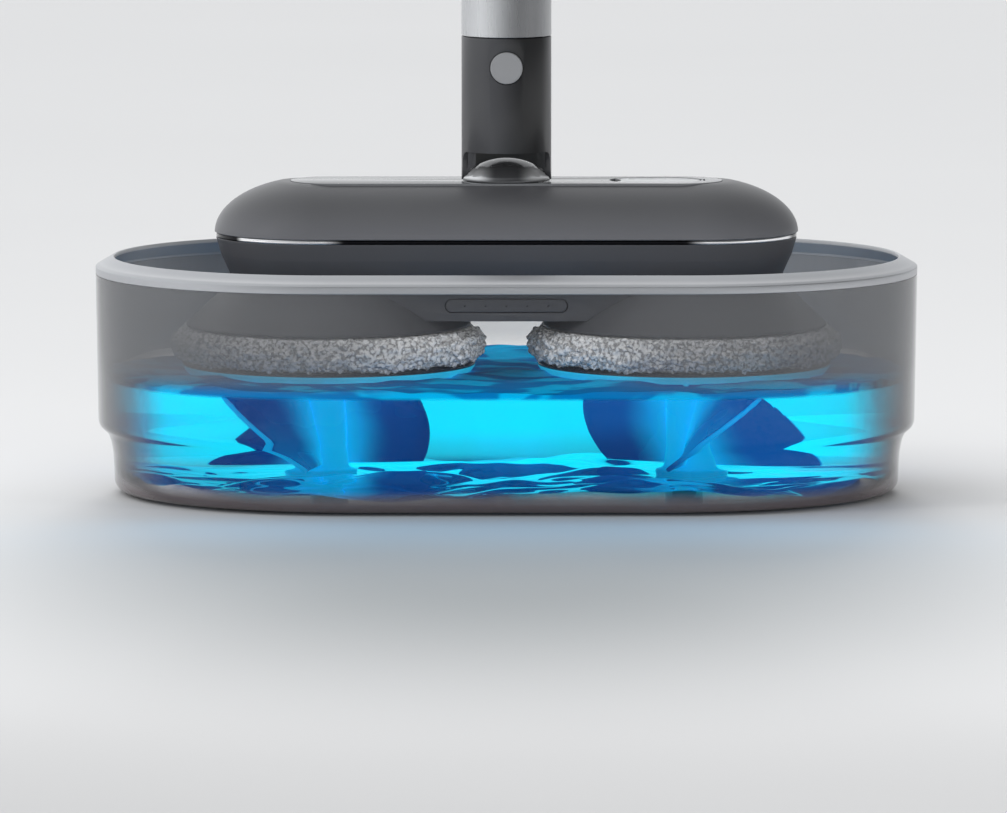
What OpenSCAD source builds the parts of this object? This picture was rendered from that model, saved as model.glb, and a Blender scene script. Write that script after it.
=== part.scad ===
// Upright floor scrubber with twin spinning pads, parked in its wash tub.
// Millimetres. X runs along the tub, -Y is the front, +Z is up, and z = 0 is the floor.

/* [Tub] */
// Distance from the middle to each round end's centre
tub_c = 103; // [100:1:106]
// Outer radius of the round ends at the rim
tub_r = 135; // [132:1:138]
// Height of the tub to the inner edge of its rim
tub_h = 138; // [136:1:142]
// Thickness of the tub wall
tub_wall = 3.5; // [2.5:0.5:4]
// How far the lower part steps in at each end
grip_step = 9.3; // [6:0.1:12]
// Radius of the rounded bottom corner
foot_corner = 8; // [6:1:10]
// Level of the water
water_z = 71.5; // [60:0.5:72]

/* [Pads] */
// Radius of the fluffy pads
pad_r = 91.5; // [88:0.5:92]
// Height of the pads' lower face
pad_z = 76.6; // [76.4:0.1:77]
// Radius of the impeller blades
blade_r = 60; // [50:1:62]
// Blades on each impeller
blades = 3; // [2:1:4]
// Pitch of the blades
blade_pitch = 38; // [25:1:45]

/* [Head] */
// Half of the head's depth, and the radius of its round ends
head_r = 59; // [57:1:60]
// Distance from the middle to each of the head's end centres
head_c = 110; // [108:1:112]
// Height of the seam between the housing halves
seam_z = 150; // [149:0.5:151]
// Height of the flat top
head_top = 181; // [180:0.5:182]

/* [Neck and pole] */
// Outer radius of the neck and of the tube in it
neck_r = 26; // [25:0.5:27]
// Height of the joint between neck and silver tube
neck_top = 265; // [260:1:270]
// Height of the tilting pin
tilt_z = 188; // [187:0.5:189]
// Height of the silver tube's upper end
body_top = 560; // [500:10:640]
// Height of the handle's upper end
handle_top = 1180; // [1100:10:1240]

/* [Hidden] */
$fn = 96;

lap = 0.02;
gap = 0.3;
seam = 0.4;
run_gap = 0.05;
draft = 1.4;
base_z = 1.5;
floor_t = 4;
floor_z = base_z + floor_t;
step_low = 24;
step_high = 43;
lip_z = 127.4;
lip_h = 4.6;
rim_w = 10.7;
low_c = tub_c - grip_step;
low_r = tub_r - draft;
pad_h = 19.8;
pad_top = pad_z + pad_h;
disc_z = 73;
disc_r = 85;
disc_t = 3;
post_r = 4;
post_top = 64;
bush_r = 7;
hub_r = 12;
hub_z = 10;
skirt_z = 97.2;
skirt_top = 124;
deck_t = 3;
deck_top = skirt_top + deck_t;
shell_t = 2.5;
trim_h = 2.5;
trim_z = seam_z - trim_h / 2;
panel_r = 25.5;
panel_c = 99.5;
panel_t = 2;
panel_z = head_top + 0.2 - panel_t;
shaft_r = 5;
cap_x = 86;
cap_half = 26;
cap_r = 17;
cap_hinge_x = cap_x + cap_half + 1.5;
barrel_r = 0.95;
barrel_w = 10;
dome_r = 35.3;
dome_z = 159;
dome_base = 25.6;
spindle_r = 11;
pin_r = 3;
cheek_in = 22.3;
ear_r = 6.3;
button_z = 248;
button_r = 9.4;
spigot_r = 19;
spigot_z = 226;
tube_r = 15;
tube_wall = 2;
grip_z = handle_top - 150;
shoulder_h = 26;
screw_zs = [grip_z + 22.3, handle_top - 15];
seat_top = panel_z - 2.4;
hose_y = 30;
hose_r = 2.9;
nozzle_z = 113;
screw_x = 8;

// ---- shared shapes ----

// Flat stadium outline: round ends of radius r, centres at +c and -c.
module stadium(c, r) {
    union() {
        translate([-c, 0]) circle(r);
        translate([c, 0]) circle(r);
        square([2 * c, 2 * r], center = true);
    }
}

// Prism on a stadium outline between two heights.
module slab(c, r, z0, z1) {
    translate([0, 0, z0]) linear_extrude(z1 - z0) stadium(c, r);
}

// A profile of [radius, height] points carried round a stadium of half length c.
module stadium_sweep(c, profile) {
    for (side = [0, 180])
        rotate([0, 0, side])
            translate([c, 0, 0])
                rotate([0, 0, -90])
                    rotate_extrude(angle = 180) polygon(profile);
    for (side = [0, 180])
        rotate([0, 0, side])
            translate([-c, 0, 0])
                rotate([90, 0, 90])
                    linear_extrude(2 * c) polygon(profile);
}

// S-shaped grip step at the ends, a stack of thin prisms from the short lower tub
// to the longer upper one. The front and back stay flush.
module step_solid(inset) {
    layers = 8;
    rise = (step_high - step_low) / layers;
    for (k = [0:layers - 1])
        slab(low_c + grip_step * (1 - cos((k + 0.5) * 180 / layers)) / 2, low_r - inset,
             step_low + rise * k - lap, step_low + rise * (k + 1) + lap);
}

// Rounded quarter from the bottom edge up to the side.
function corner(r, z, k) = [for (a = [-90:15:0]) [r - k + k * cos(a), z + k + k * sin(a)]];

// Both tub surfaces: the outside at inset 0, the cavity at the wall's thickness.
module tub_solid(inset, bottom, top) {
    low = low_r - inset;
    high = tub_r - inset;
    stadium_sweep(low_c, concat([[0, bottom]], corner(low, bottom, foot_corner - inset * 0.6),
                                [[low, step_low], [0, step_low]]));
    step_solid(inset);
    stadium_sweep(tub_c, [[0, step_high], [low, step_high], [high, top], [0, top]]);
}

// ---- tub ----

module tub_shell() {
    color([0.38, 0.38, 0.4, 0.4])
        difference() {
            tub_solid(0, base_z, lip_z);
            tub_solid(tub_wall, floor_z, lip_z + lap);
        }
}

module tub_rim() {
    inner = tub_r - rim_w;
    color("silver")
        difference() {
            stadium_sweep(tub_c, [[0, lip_z], [tub_r, lip_z], [tub_r, lip_z + lip_h],
                                  [inner, tub_h], [0, tub_h]]);
            stadium_sweep(tub_c, [[0, lip_z - 1], [tub_r - tub_wall, lip_z - 1],
                                  [tub_r - tub_wall, lip_z + 1], [inner, tub_h - 3],
                                  [inner, tub_h + 1], [0, tub_h + 1]]);
        }
}

module tub_feet() {
    color([0.1, 0.1, 0.11])
        for (x = [-110, 0, 110], y = [-100, 100])
            translate([x, y, 0]) cylinder(h = base_z, r = 8);
}

module impeller_posts() {
    color("lightgray")
        for (x = [-tub_c, tub_c])
            translate([x, 0, floor_z]) {
                cylinder(h = 2.5, r = 11);
                cylinder(h = post_top - floor_z, r = post_r);
            }
}

// Filling of the tub, with the space that the impellers sweep left free.
module wash_water() {
    clear = gap;
    color([0.02, 0.75, 1, 0.6])
        difference() {
            union() {
                slab(low_c, low_r - tub_wall - 4, floor_z + 0.4, step_low - 1);
                slab(low_c, low_r - tub_wall - clear, floor_z + 6, step_low + 1);
                slab(low_c, low_r - tub_wall - clear, step_low, step_high + 1);
                slab(tub_c, low_r - tub_wall - clear, step_high + 0.5, water_z);
            }
            for (x = [-tub_c, tub_c]) {
                translate([x, 0, 8.2]) cylinder(h = 60.2, r = blade_r + 2);
                translate([x, 0, 0]) cylinder(h = 20, r = 18.5);
                translate([x, 0, 66.5]) cylinder(h = 20, r = disc_r + 1);
            }
        }
}

// ---- impellers and turntables ----

module blade() {
    intersection() {
        translate([0, 0, 38])
            rotate([blade_pitch, 0, 0])
                translate([hub_r - 2, -1.6, -26]) cube([blade_r, 3.2, 52]);
        translate([0, 0, 15]) cylinder(h = 47, r = blade_r);
    }
}

module impeller(x) {
    translate([x, 0, 0])
        difference() {
            union() {
                cylinder(h = 7, r = 18, center = false);
                cylinder(h = disc_z - hub_z, r = hub_r);
                for (k = [0:blades - 1])
                    translate([0, 0, -hub_z]) rotate([0, 0, 100 + k * 360 / blades]) blade();
            }
            translate([0, 0, -1]) cylinder(h = post_top + 2 - hub_z, r = bush_r);
        }
}

module turntable(x) {
    pegs = 24;
    translate([x, 0, disc_z]) {
        difference() {
            cylinder(h = disc_t, r = disc_r);
            for (k = [0:5])
                rotate([0, 0, k * 60 + 30]) translate([46, 0, -1]) cylinder(h = disc_t + 2, r = 7);
        }
        for (k = [0:pegs - 1])
            rotate([0, 0, k * 360 / pegs])
                translate([disc_r - 4, 0, -5]) cylinder(h = 5 + lap, r = 1.6);
    }
}

module bush(x) {
    translate([x, 0, 8.2])
        difference() {
            cylinder(h = post_top - 8.2, r = bush_r);
            translate([0, 0, -1]) cylinder(h = post_top, r = post_r + run_gap);
        }
}

module left_impeller() { color([0.05, 0.3, 0.7]) translate([0, 0, hub_z]) impeller(-tub_c); }
module right_impeller() { color([0.05, 0.3, 0.7]) translate([0, 0, hub_z]) impeller(tub_c); }
module left_turntable() { color([0.1, 0.6, 0.85]) turntable(-tub_c); }
module right_turntable() { color([0.1, 0.6, 0.85]) turntable(tub_c); }
module left_bush() { color("white") bush(-tub_c); }
module right_bush() { color("white") bush(tub_c); }

// ---- head: casings ----

module chassis_plate() {
    color([0.2, 0.2, 0.22])
        difference() {
            slab(head_c, head_r - 13, skirt_top, deck_top);
            for (x = [-tub_c, tub_c])
                translate([x, 0, skirt_top - 1]) cylinder(h = deck_t + 2, r = 13);
            translate([0, -hose_y, skirt_top - 1]) cylinder(h = deck_t + 2, r = hose_r + gap);
        }
}

module lower_housing() {
    t = shell_t;
    outer = [[head_r - 9.5, skirt_top], [head_r - 8.7, 128], [head_r - 3.6, 139],
             [head_r - 0.8, trim_z]];
    color([0.28, 0.28, 0.3])
        difference() {
            stadium_sweep(head_c, concat([[0, skirt_top]], outer, [[0, trim_z]]));
            stadium_sweep(head_c, concat([[0, skirt_top - 1], [head_r - 12.8, skirt_top - 1]],
                                         [for (p = outer) [p[0] - t - 0.7, p[1]]],
                                         [[head_r - 4, trim_z + 1], [0, trim_z + 1]]));
        }
}

// Outline of the bells, from the housing down to the rim over the pad.
flare = [[57, skirt_top], [57.6, 121.5], [62, 117.5], [69.5, 110.8], [77, 103.6],
         [81.6, 99.4], [82.5, skirt_z]];

// Bell over each pad, flaring out from the housing.
module skirt(x) {
    translate([x, 0, 0])
        rotate_extrude()
            polygon(concat([[14, skirt_top]], flare,
                           [for (k = [6:-1:1]) [flare[k][0] - 3, flare[k][1] - (k == 6 ? 0 : 1)]],
                           [[53, skirt_top - 3], [14, skirt_top - 3]]));
}

module left_skirt() { color([0.3, 0.3, 0.32]) skirt(-tub_c); }
module right_skirt() { color([0.3, 0.3, 0.32]) skirt(tub_c); }

// Block between the bells that carries the spray bar.
module nozzle_block() {
    front = 52;
    half = 80;
    bottom = 104;
    color([0.26, 0.26, 0.28])
        difference() {
            translate([-half, -front, bottom]) cube([2 * half, 2 * front, skirt_top - bottom]);
            for (x = [-tub_c, tub_c])
                translate([x, 0, 0]) rotate_extrude()
                    polygon(concat([[0, skirt_top + 1], [flare[0][0] + gap, skirt_top + 1]],
                                   [for (p = flare) [p[0] + gap, p[1]]], [[0, skirt_z]]));
            translate([0, -front + 1.6, nozzle_z])
                rotate([90, 0, 0]) linear_extrude(3) stadium(31.4, 4.1);
            translate([0, -hose_y, nozzle_z])
                rotate([90, 0, 0]) cylinder(h = front - hose_y, r = 2.2);
            translate([0, -hose_y, nozzle_z - 4]) cylinder(h = 20, r = hose_r + gap);
        }
}

module spray_bar() {
    color([0.24, 0.24, 0.26])
        translate([0, -50.4, nozzle_z])
            rotate([90, 0, 0])
                difference() {
                    linear_extrude(1.9) stadium(31.2, 3.8);
                    for (k = [-2:2])
                        translate([k * 12, 0, -1]) cylinder(h = 4, r = 0.6);
                }
}

module trim_ring() {
    color("white")
        difference() {
            slab(head_c, head_r - 0.9, trim_z, trim_z + trim_h);
            slab(head_c, head_r - 5, trim_z - 1, trim_z + trim_h + 1);
        }
}

// Elliptical crown of the cover, from the seam up to the flat top.
function crown(inset, z0, n) =
    let (rise = head_top + 0.9 - seam_z)
    [for (k = [0:n])
        let (a = k * 68 / n)
        [(head_r - inset) * cos(a), z0 + (rise - inset) * sin(a)]];

module upper_cover() {
    z0 = trim_z + trim_h;
    body = crown(0, z0, 10);
    hollow = crown(shell_t, z0, 10);
    color([0.3, 0.3, 0.32])
        difference() {
            stadium_sweep(head_c, concat([[0, z0]], body, [[0, head_top - 0.2]]));
            stadium_sweep(head_c, concat([[0, z0 - 1], [head_r - shell_t, z0 - 1]], hollow,
                                         [[0, z0 + (head_top + 0.9 - seam_z - shell_t) * sin(68)]]));
            slab(panel_c, panel_r + 0.2, panel_z, head_top + 2);
            translate([0, 0, 150]) cylinder(h = 40, r = spindle_r + 2);
            translate([cap_x, 0, 160]) linear_extrude(30) stadium(cap_half - cap_r, cap_r + 0.6);
            hinge_slot();
        }
}

// Slot in panel and cover for the cap's hinge barrel.
module hinge_slot() {
    translate([cap_hinge_x - 1, 0, panel_z - 1.5])
        linear_extrude(6) square([4.8, barrel_w + 0.6], center = true);
}

module top_panel() {
    color([0.42, 0.42, 0.44])
        difference() {
            slab(panel_c, panel_r, panel_z, panel_z + panel_t);
            translate([0, 0, panel_z - 1]) cylinder(h = 5, r = spindle_r + gap);
            translate([cap_x, 0, panel_z - 1]) linear_extrude(5) stadium(cap_half - cap_r, cap_r + gap);
            hinge_slot();
            hinge_axis() cylinder(h = 16, r = 0.5, center = true);
        }
}

// ---- head: inside ----

// Bearing for the swivelling foot of the neck, standing on the chassis.
module swivel_seat() {
    color([0.2, 0.2, 0.2])
        difference() {
            union() {
                translate([0, 0, deck_top]) cylinder(h = 3, r = 26);
                translate([0, 0, deck_top]) cylinder(h = seat_top - deck_top, r = 17);
            }
            translate([0, 0, deck_top + 4]) cylinder(h = 60, r = spindle_r + run_gap);
        }
}

module gearmotor(x) {
    translate([x, 0, deck_top])
        difference() {
            union() {
                cylinder(h = 13, r = 24);
                translate([0, 0, 13]) cylinder(h = 24, r = 18);
                for (a = [45, 225])
                    rotate([0, 0, a]) translate([27, 0, 0]) cylinder(h = 4, r = 6);
            }
            translate([0, 0, -1]) cylinder(h = 13, r = shaft_r + run_gap);
            for (a = [45, 225])
                rotate([0, 0, a]) translate([27, 0, -1]) cylinder(h = 6, r = 1.7);
        }
}

module left_gearmotor() { color("gray") gearmotor(-tub_c); }
module right_gearmotor() { color("gray") gearmotor(tub_c); }

// Clean-water tank under the cover, over the right-hand motor.
module water_tank() {
    z0 = deck_top + 38;
    color([0.8, 0.85, 0.9, 0.5])
        difference() {
            union() {
                translate([84, 0, z0])
                    linear_extrude(8) intersection() {
                        stadium(27, 35);
                        square([150, 66], center = true);
                    }
                translate([cap_x, 0, z0]) linear_extrude(panel_z - 0.1 - z0)
                    stadium(cap_half - cap_r, cap_r + 0.4);
            }
            translate([84, 0, z0 + 1.5]) linear_extrude(5) stadium(24, 31);
            translate([cap_x, 0, z0 + 5]) linear_extrude(20)
                stadium(cap_half - cap_r - 2, cap_r - 2.2);
            translate([36, 0, z0 + 4]) rotate([0, 90, 0]) cylinder(h = 30, r = 2, center = true);
        }
}

module water_pump() {
    color([0.15, 0.15, 0.16])
        translate([45, -hose_y, deck_top]) {
            cylinder(h = 22, r = 11);
            translate([0, 0, 22]) cylinder(h = 4, r = 3);
            translate([-14, 0, 6]) rotate([0, 90, 0]) cylinder(h = 14, r = 3);
        }
}

// Hose from the pump down to the spray bar: two straight runs and an elbow.
module water_hose() {
    color("white")
        difference() {
            union() {
                translate([0, -hose_y, deck_top + 6]) rotate([0, 90, 0]) cylinder(h = 30.8, r = hose_r);
                translate([0, -hose_y, deck_top + 6]) sphere(hose_r);
                translate([0, -hose_y, nozzle_z + 5]) cylinder(h = deck_top + 1 - nozzle_z, r = hose_r);
            }
            translate([29, -hose_y, deck_top + 6]) rotate([0, 90, 0]) cylinder(h = 3, r = 2);
        }
}

module control_board() {
    color("darkgreen")
        translate([-60, 0, deck_top + 2]) {
            translate([-8, -24, 0]) cube([26, 48, 1.6]);
            for (y = [-16, 0, 14]) translate([0, y - 4, 1.6]) cube([9, 8, 4]);
            for (x = [-5, 15], y = [-21, 21]) translate([x, y, -2]) cylinder(h = 2, r = 2);
        }
}

module housing_screws() {
    color("silver")
        for (x = [-tub_c, tub_c], a = [45, 225])
            translate([x, 0, 0]) rotate([0, 0, a]) translate([27, 0, deck_top + 4]) {
                cylinder(h = 2, r = 3);
                translate([0, 0, -4]) cylinder(h = 4, r = 1.6);
            }
}

module filler_seal() {
    color([0.1, 0.1, 0.1])
        translate([cap_x, 0, panel_z - 0.1])
            linear_extrude(0.6)
                difference() {
                    stadium(cap_half - cap_r, cap_r);
                    stadium(cap_half - cap_r - 2, cap_r - 2.2);
                }
}

module hinge_axis() {
    translate([cap_hinge_x, 0, panel_z + 1]) rotate([90, 0, 0]) children();
}

// Oval lid with a thumb notch at its free end and a barrel at the other.
module filler_cap() {
    color([0.75, 0.76, 0.78])
        difference() {
            union() {
                translate([cap_x, 0, panel_z + 0.6]) linear_extrude(1.2) stadium(cap_half - cap_r, cap_r);
                translate([cap_x + cap_half - 3, -barrel_w / 2, panel_z + 0.6])
                    cube([4.2, barrel_w, 0.8]);
                hinge_axis() cylinder(h = barrel_w, r = barrel_r, center = true);
            }
            translate([cap_x - cap_half - 9, 0, panel_z - 1]) cylinder(h = 4, r = 15.5);
            hinge_axis() cylinder(h = barrel_w + 2, r = 0.5 + run_gap, center = true);
        }
}

module cap_hinge_pin() {
    color("silver") hinge_axis() cylinder(h = 15, r = 0.5, center = true);
}

// ---- spinning pads ----

module drive_shaft(x) {
    translate([x, 0, pad_top + 1]) cylinder(h = deck_top + 11 - pad_top - 1, r = shaft_r);
}

module pad_plate(x) {
    translate([x, 0, pad_top])
        difference() {
            union() {
                cylinder(h = 4, r = 75);
                cylinder(h = 16, r = 12);
            }
            translate([0, 0, 1]) cylinder(h = 20, r = shaft_r);
        }
}

// Fluffy pad with a full, rounded edge.
module mop_pad(x) {
    bulge = pad_h / 2;
    translate([x, 0, pad_z + bulge])
        rotate_extrude()
            polygon(concat([[0, -bulge]],
                           [for (a = [-90:15:90]) [pad_r - bulge + bulge * cos(a), bulge * sin(a)]],
                           [[0, bulge]]));
}

module left_drive_shaft() { color("silver") drive_shaft(-tub_c); }
module right_drive_shaft() { color("silver") drive_shaft(tub_c); }
module left_pad_plate() { color([0.2, 0.2, 0.2]) pad_plate(-tub_c); }
module right_pad_plate() { color([0.2, 0.2, 0.2]) pad_plate(tub_c); }
module left_mop_pad() { color([0.55, 0.56, 0.58]) mop_pad(-tub_c); }
module right_mop_pad() { color([0.55, 0.56, 0.58]) mop_pad(tub_c); }

// ---- neck ----

// Domed foot: the cap of a sphere on a low round base, with a spindle down into the seat.
module swivel_knuckle() {
    color([0.45, 0.45, 0.47])
        difference() {
            union() {
                intersection() {
                    translate([0, 0, dome_z]) sphere(dome_r);
                    translate([0, 0, head_top + 0.2 + gap]) cylinder(h = 30, r = dome_base);
                }
                translate([0, 0, deck_top + 5]) cylinder(h = head_top + 3 - deck_top - 5, r = spindle_r);
            }
            translate([0, 0, tilt_z]) rotate([0, 90, 0]) cylinder(h = 60, r = pin_r, center = true);
            for (s = [-1, 1])
                translate([s * (cheek_in - 0.1 + 5), 0, tilt_z]) rotate([0, 90, 0])
                    cylinder(h = 10, r = ear_r + 1.6, center = true);
        }
}

module tilt_pin() {
    color("dimgray")
        translate([0, 0, tilt_z]) rotate([0, 90, 0]) cylinder(h = 49, r = pin_r, center = true);
}

// Round sleeve, open at front and back above the foot, with two ears on the pin.
module neck_sleeve() {
    color([0.32, 0.32, 0.34])
        difference() {
            union() {
                translate([0, 0, 198.5]) cylinder(h = neck_top - 198.5, r = neck_r);
                intersection() {
                    translate([0, 0, 180]) cylinder(h = 30, r = neck_r);
                    union() {
                        translate([0, 0, tilt_z]) rotate([0, 90, 0])
                            cylinder(h = 60, r = ear_r, center = true);
                        translate([-30, -ear_r, tilt_z]) cube([60, 2 * ear_r, 22]);
                        difference() {
                            translate([-30, -12, 190.5]) cube([60, 24, 10]);
                            for (s = [-1, 1])
                                translate([0, s * 12.3, 190.5]) rotate([0, 90, 0])
                                    cylinder(h = 61, r = 6, center = true);
                        }
                    }
                }
            }
            // hollow between the ears, taller at the back so that the neck can lie down
            translate([0, 0, 170]) cylinder(h = 36, r = cheek_in);
            translate([-cheek_in, -40, 170]) cube([2 * cheek_in, 80, 28.5]);
            translate([-cheek_in, 0, 170]) cube([2 * cheek_in, 40, 53]);
            // socket for the tube's spigot
            translate([0, 0, spigot_z - 0.5]) cylinder(h = 60, r = spigot_r + run_gap);
            // bores for the pin and the button
            translate([0, 0, tilt_z]) rotate([0, 90, 0])
                cylinder(h = 60, r = pin_r + run_gap, center = true);
            translate([0, -30, button_z]) rotate([-90, 0, 0]) cylinder(h = 9.7, r = button_r + gap);
        }
}

module release_button() {
    color("silver")
        translate([0, -neck_r + 0.2, button_z]) {
            rotate([-90, 0, 0]) cylinder(h = 2.4, r = button_r);
        }
}

module button_spring() {
    turns = 3;
    color("silver")
        translate([0, -neck_r + 2.7, button_z])
            rotate([-90, 0, 0])
                for (k = [0:turns - 1])
                    translate([0, 0, 0.35 + k * 1.15]) rotate_extrude()
                        translate([5, 0]) circle(0.3, $fn = 16);
}

// ---- pole ----

// Hollow plug at the foot of the silver tube, held in its end plate.
module tube_spigot() {
    color([0.12, 0.12, 0.13])
        difference() {
            translate([0, 0, spigot_z]) cylinder(h = neck_top + 20 - spigot_z, r = spigot_r);
            translate([0, 0, spigot_z - 1]) cylinder(h = neck_top + 30 - spigot_z, r = spigot_r - 4);
        }
}

module body_tube() {
    color("silver")
        difference() {
            translate([0, 0, neck_top + seam]) cylinder(h = body_top - neck_top - seam, r = neck_r);
            translate([0, 0, neck_top + seam + 3]) cylinder(h = body_top - neck_top, r = neck_r - tube_wall);
            translate([0, 0, neck_top - 1]) cylinder(h = 6, r = spigot_r + run_gap);
            // charging socket at the back
            translate([0, 20, 320]) rotate([-90, 0, 0]) linear_extrude(10) stadium(5, 5);
        }
}

module battery_pack() {
    cell_r = 9;
    color([0.2, 0.35, 0.6])
        translate([0, 0, 345]) {
            for (a = [0:2])
                rotate([0, 0, a * 120]) translate([0, cell_r * 1.2, 0]) {
                    cylinder(h = 65, r = cell_r);
                    translate([0, 0, 65.5]) cylinder(h = 65, r = cell_r);
                }
            translate([0, 0, 65]) cylinder(h = 0.5, r = 20);
            for (z = [-3, 130.5]) translate([0, 0, z]) cylinder(h = 3, r = neck_r - tube_wall);
        }
}

module tube_shoulder() {
    color([0.2, 0.2, 0.22])
        difference() {
            union() {
                translate([0, 0, body_top]) cylinder(h = shoulder_h, r1 = neck_r, r2 = tube_r + 4);
                translate([0, 0, body_top - 18]) cylinder(h = 18, r = neck_r - tube_wall);
                translate([0, 0, body_top + shoulder_h]) cylinder(h = 14, r = tube_r + 4);
            }
            translate([0, 0, body_top - 10]) cylinder(h = 90, r = tube_r + run_gap);
        }
}

module upper_tube() {
    color("silver")
        difference() {
            translate([0, 0, body_top - 10]) cylinder(h = grip_z + 20 - body_top + 10, r = tube_r);
            translate([0, 0, body_top - 11]) cylinder(h = grip_z + 40 - body_top, r = tube_r - 1.5);
        }
}

// Rubber flap that covers the charging socket.
module charge_cover() {
    color([0.1, 0.1, 0.1])
        intersection() {
            translate([0, 20, 320]) rotate([-90, 0, 0]) linear_extrude(10) stadium(4.8, 4.8);
            difference() {
                translate([0, 0, 300]) cylinder(h = 40, r = neck_r - 0.1);
                translate([0, 0, 299]) cylinder(h = 42, r = neck_r - 2.4);
            }
        }
}

// ---- handle ----

// Handle body split front from back: a straight barrel with a rounded crown.
module handle_half(front) {
    difference() {
        union() {
            translate([0, 0, grip_z]) cylinder(h = handle_top - grip_z - 14, r = 19);
            translate([0, 0, grip_z - 30]) cylinder(h = 30, r1 = 16.5, r2 = 19);
            translate([0, 0, handle_top - 14]) cylinder(h = 8, r1 = 19, r2 = 16);
        }
        translate([-40, front ? 0 : -40, grip_z - 40]) cube([80, 40, 240]);
        translate([0, 0, grip_z - 31]) cylinder(h = 51, r = tube_r + run_gap);
        translate([0, 0, grip_z + 24]) cylinder(h = handle_top - grip_z - 44, r = 15);
        if (front) {
            translate([-6.3, -40, grip_z - 8]) cube([12.6, 32, 42.7]);
            translate([0, 0, grip_z + 30]) rotate([0, 90, 0])
                cylinder(h = 26, r = 1.5, center = true);
            translate([0, -10, grip_z + 92]) rotate([90, 0, 0]) cylinder(h = 20, r = 7.3);
        }
        for (z = screw_zs) {
            translate([screw_x, 0, z]) rotate([90, 0, 0]) cylinder(h = 50, r = 1.25, center = true);
            translate([screw_x, 29, z]) rotate([90, 0, 0]) cylinder(h = 16, r = 2.8);
        }
    }
}

module handle_front() { color([0.3, 0.3, 0.32]) handle_half(true); }
module handle_back() { color([0.3, 0.3, 0.32]) handle_half(false); }

module handle_screws() {
    color("silver")
        for (z = screw_zs)
            translate([screw_x, 13, z]) rotate([90, 0, 0]) {
                translate([0, 0, -0.06]) cylinder(h = 21, r = 1.2);
                translate([0, 0, -1.85]) cylinder(h = 1.8, r = 2.5);
            }
}

module grip_sleeve() {
    color([0.12, 0.12, 0.13])
        difference() {
            translate([0, 0, grip_z + 42]) cylinder(h = 90, r = 21);
            translate([0, 0, grip_z + 41]) cylinder(h = 92, r = 19);
            translate([0, -10, grip_z + 92]) rotate([90, 0, 0]) cylinder(h = 20, r = 8.4);
        }
}

module power_button() {
    color("silver")
        translate([0, -21.6, grip_z + 92]) rotate([-90, 0, 0]) {
            cylinder(h = 5, r = 7);
            translate([0, 0, 5]) cylinder(h = 1.4, r = 5);
        }
}

// Water trigger, swinging on a pin inside the front shell.
module spray_trigger() {
    color([0.55, 0.56, 0.58])
        difference() {
            union() {
                translate([0, 0, grip_z + 30]) rotate([0, 90, 0])
                    cylinder(h = 12, r = 4, center = true);
                translate([-6, -27, grip_z - 4]) cube([12, 5, 34]);
                translate([-6, -27, grip_z + 26]) cube([12, 26, 4]);
            }
            translate([0, 0, grip_z + 30]) rotate([0, 90, 0])
                cylinder(h = 14, r = 1.5 + run_gap, center = true);
        }
}

module trigger_pin() {
    color("silver")
        translate([0, 0, grip_z + 30]) rotate([0, 90, 0]) cylinder(h = 26, r = 1.5, center = true);
}

module trigger_spring() {
    color("silver")
        for (x = [-9.6, -8.5, 8.5, 9.6])
            translate([x, 0, grip_z + 30]) rotate([0, 90, 0]) rotate_extrude()
                translate([2.2, 0]) circle(0.4, $fn = 16);
}

module hanging_loop() {
    color([0.2, 0.2, 0.22])
        translate([0, 0, handle_top - 6])
            rotate([90, 0, 0]) linear_extrude(8, center = true)
                difference() {
                    circle(15);
                    translate([-20, -20]) square([40, 20]);
                    difference() {
                        circle(10.5);
                        translate([-20, -17]) square([40, 20]);
                    }
                }
}

tub_shell();
tub_rim();
tub_feet();
impeller_posts();
wash_water();
left_impeller();
left_turntable();
left_bush();
right_impeller();
right_turntable();
right_bush();
chassis_plate();
lower_housing();
left_skirt();
right_skirt();
nozzle_block();
spray_bar();
trim_ring();
upper_cover();
top_panel();
swivel_seat();
left_gearmotor();
right_gearmotor();
water_tank();
water_pump();
water_hose();
control_board();
housing_screws();
filler_seal();
left_drive_shaft();
left_pad_plate();
left_mop_pad();
right_drive_shaft();
right_pad_plate();
right_mop_pad();
filler_cap();
cap_hinge_pin();
swivel_knuckle();
tilt_pin();
neck_sleeve();
release_button();
button_spring();
tube_spigot();
body_tube();
battery_pack();
tube_shoulder();
upper_tube();
charge_cover();
handle_front();
handle_back();
handle_screws();
grip_sleeve();
power_button();
spray_trigger();
trigger_pin();
trigger_spring();
hanging_loop();
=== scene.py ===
"""Upright floor scrubber parked in its wash tub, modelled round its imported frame."""
import math

import bmesh
import bpy
from mathutils import Matrix, Vector


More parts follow.
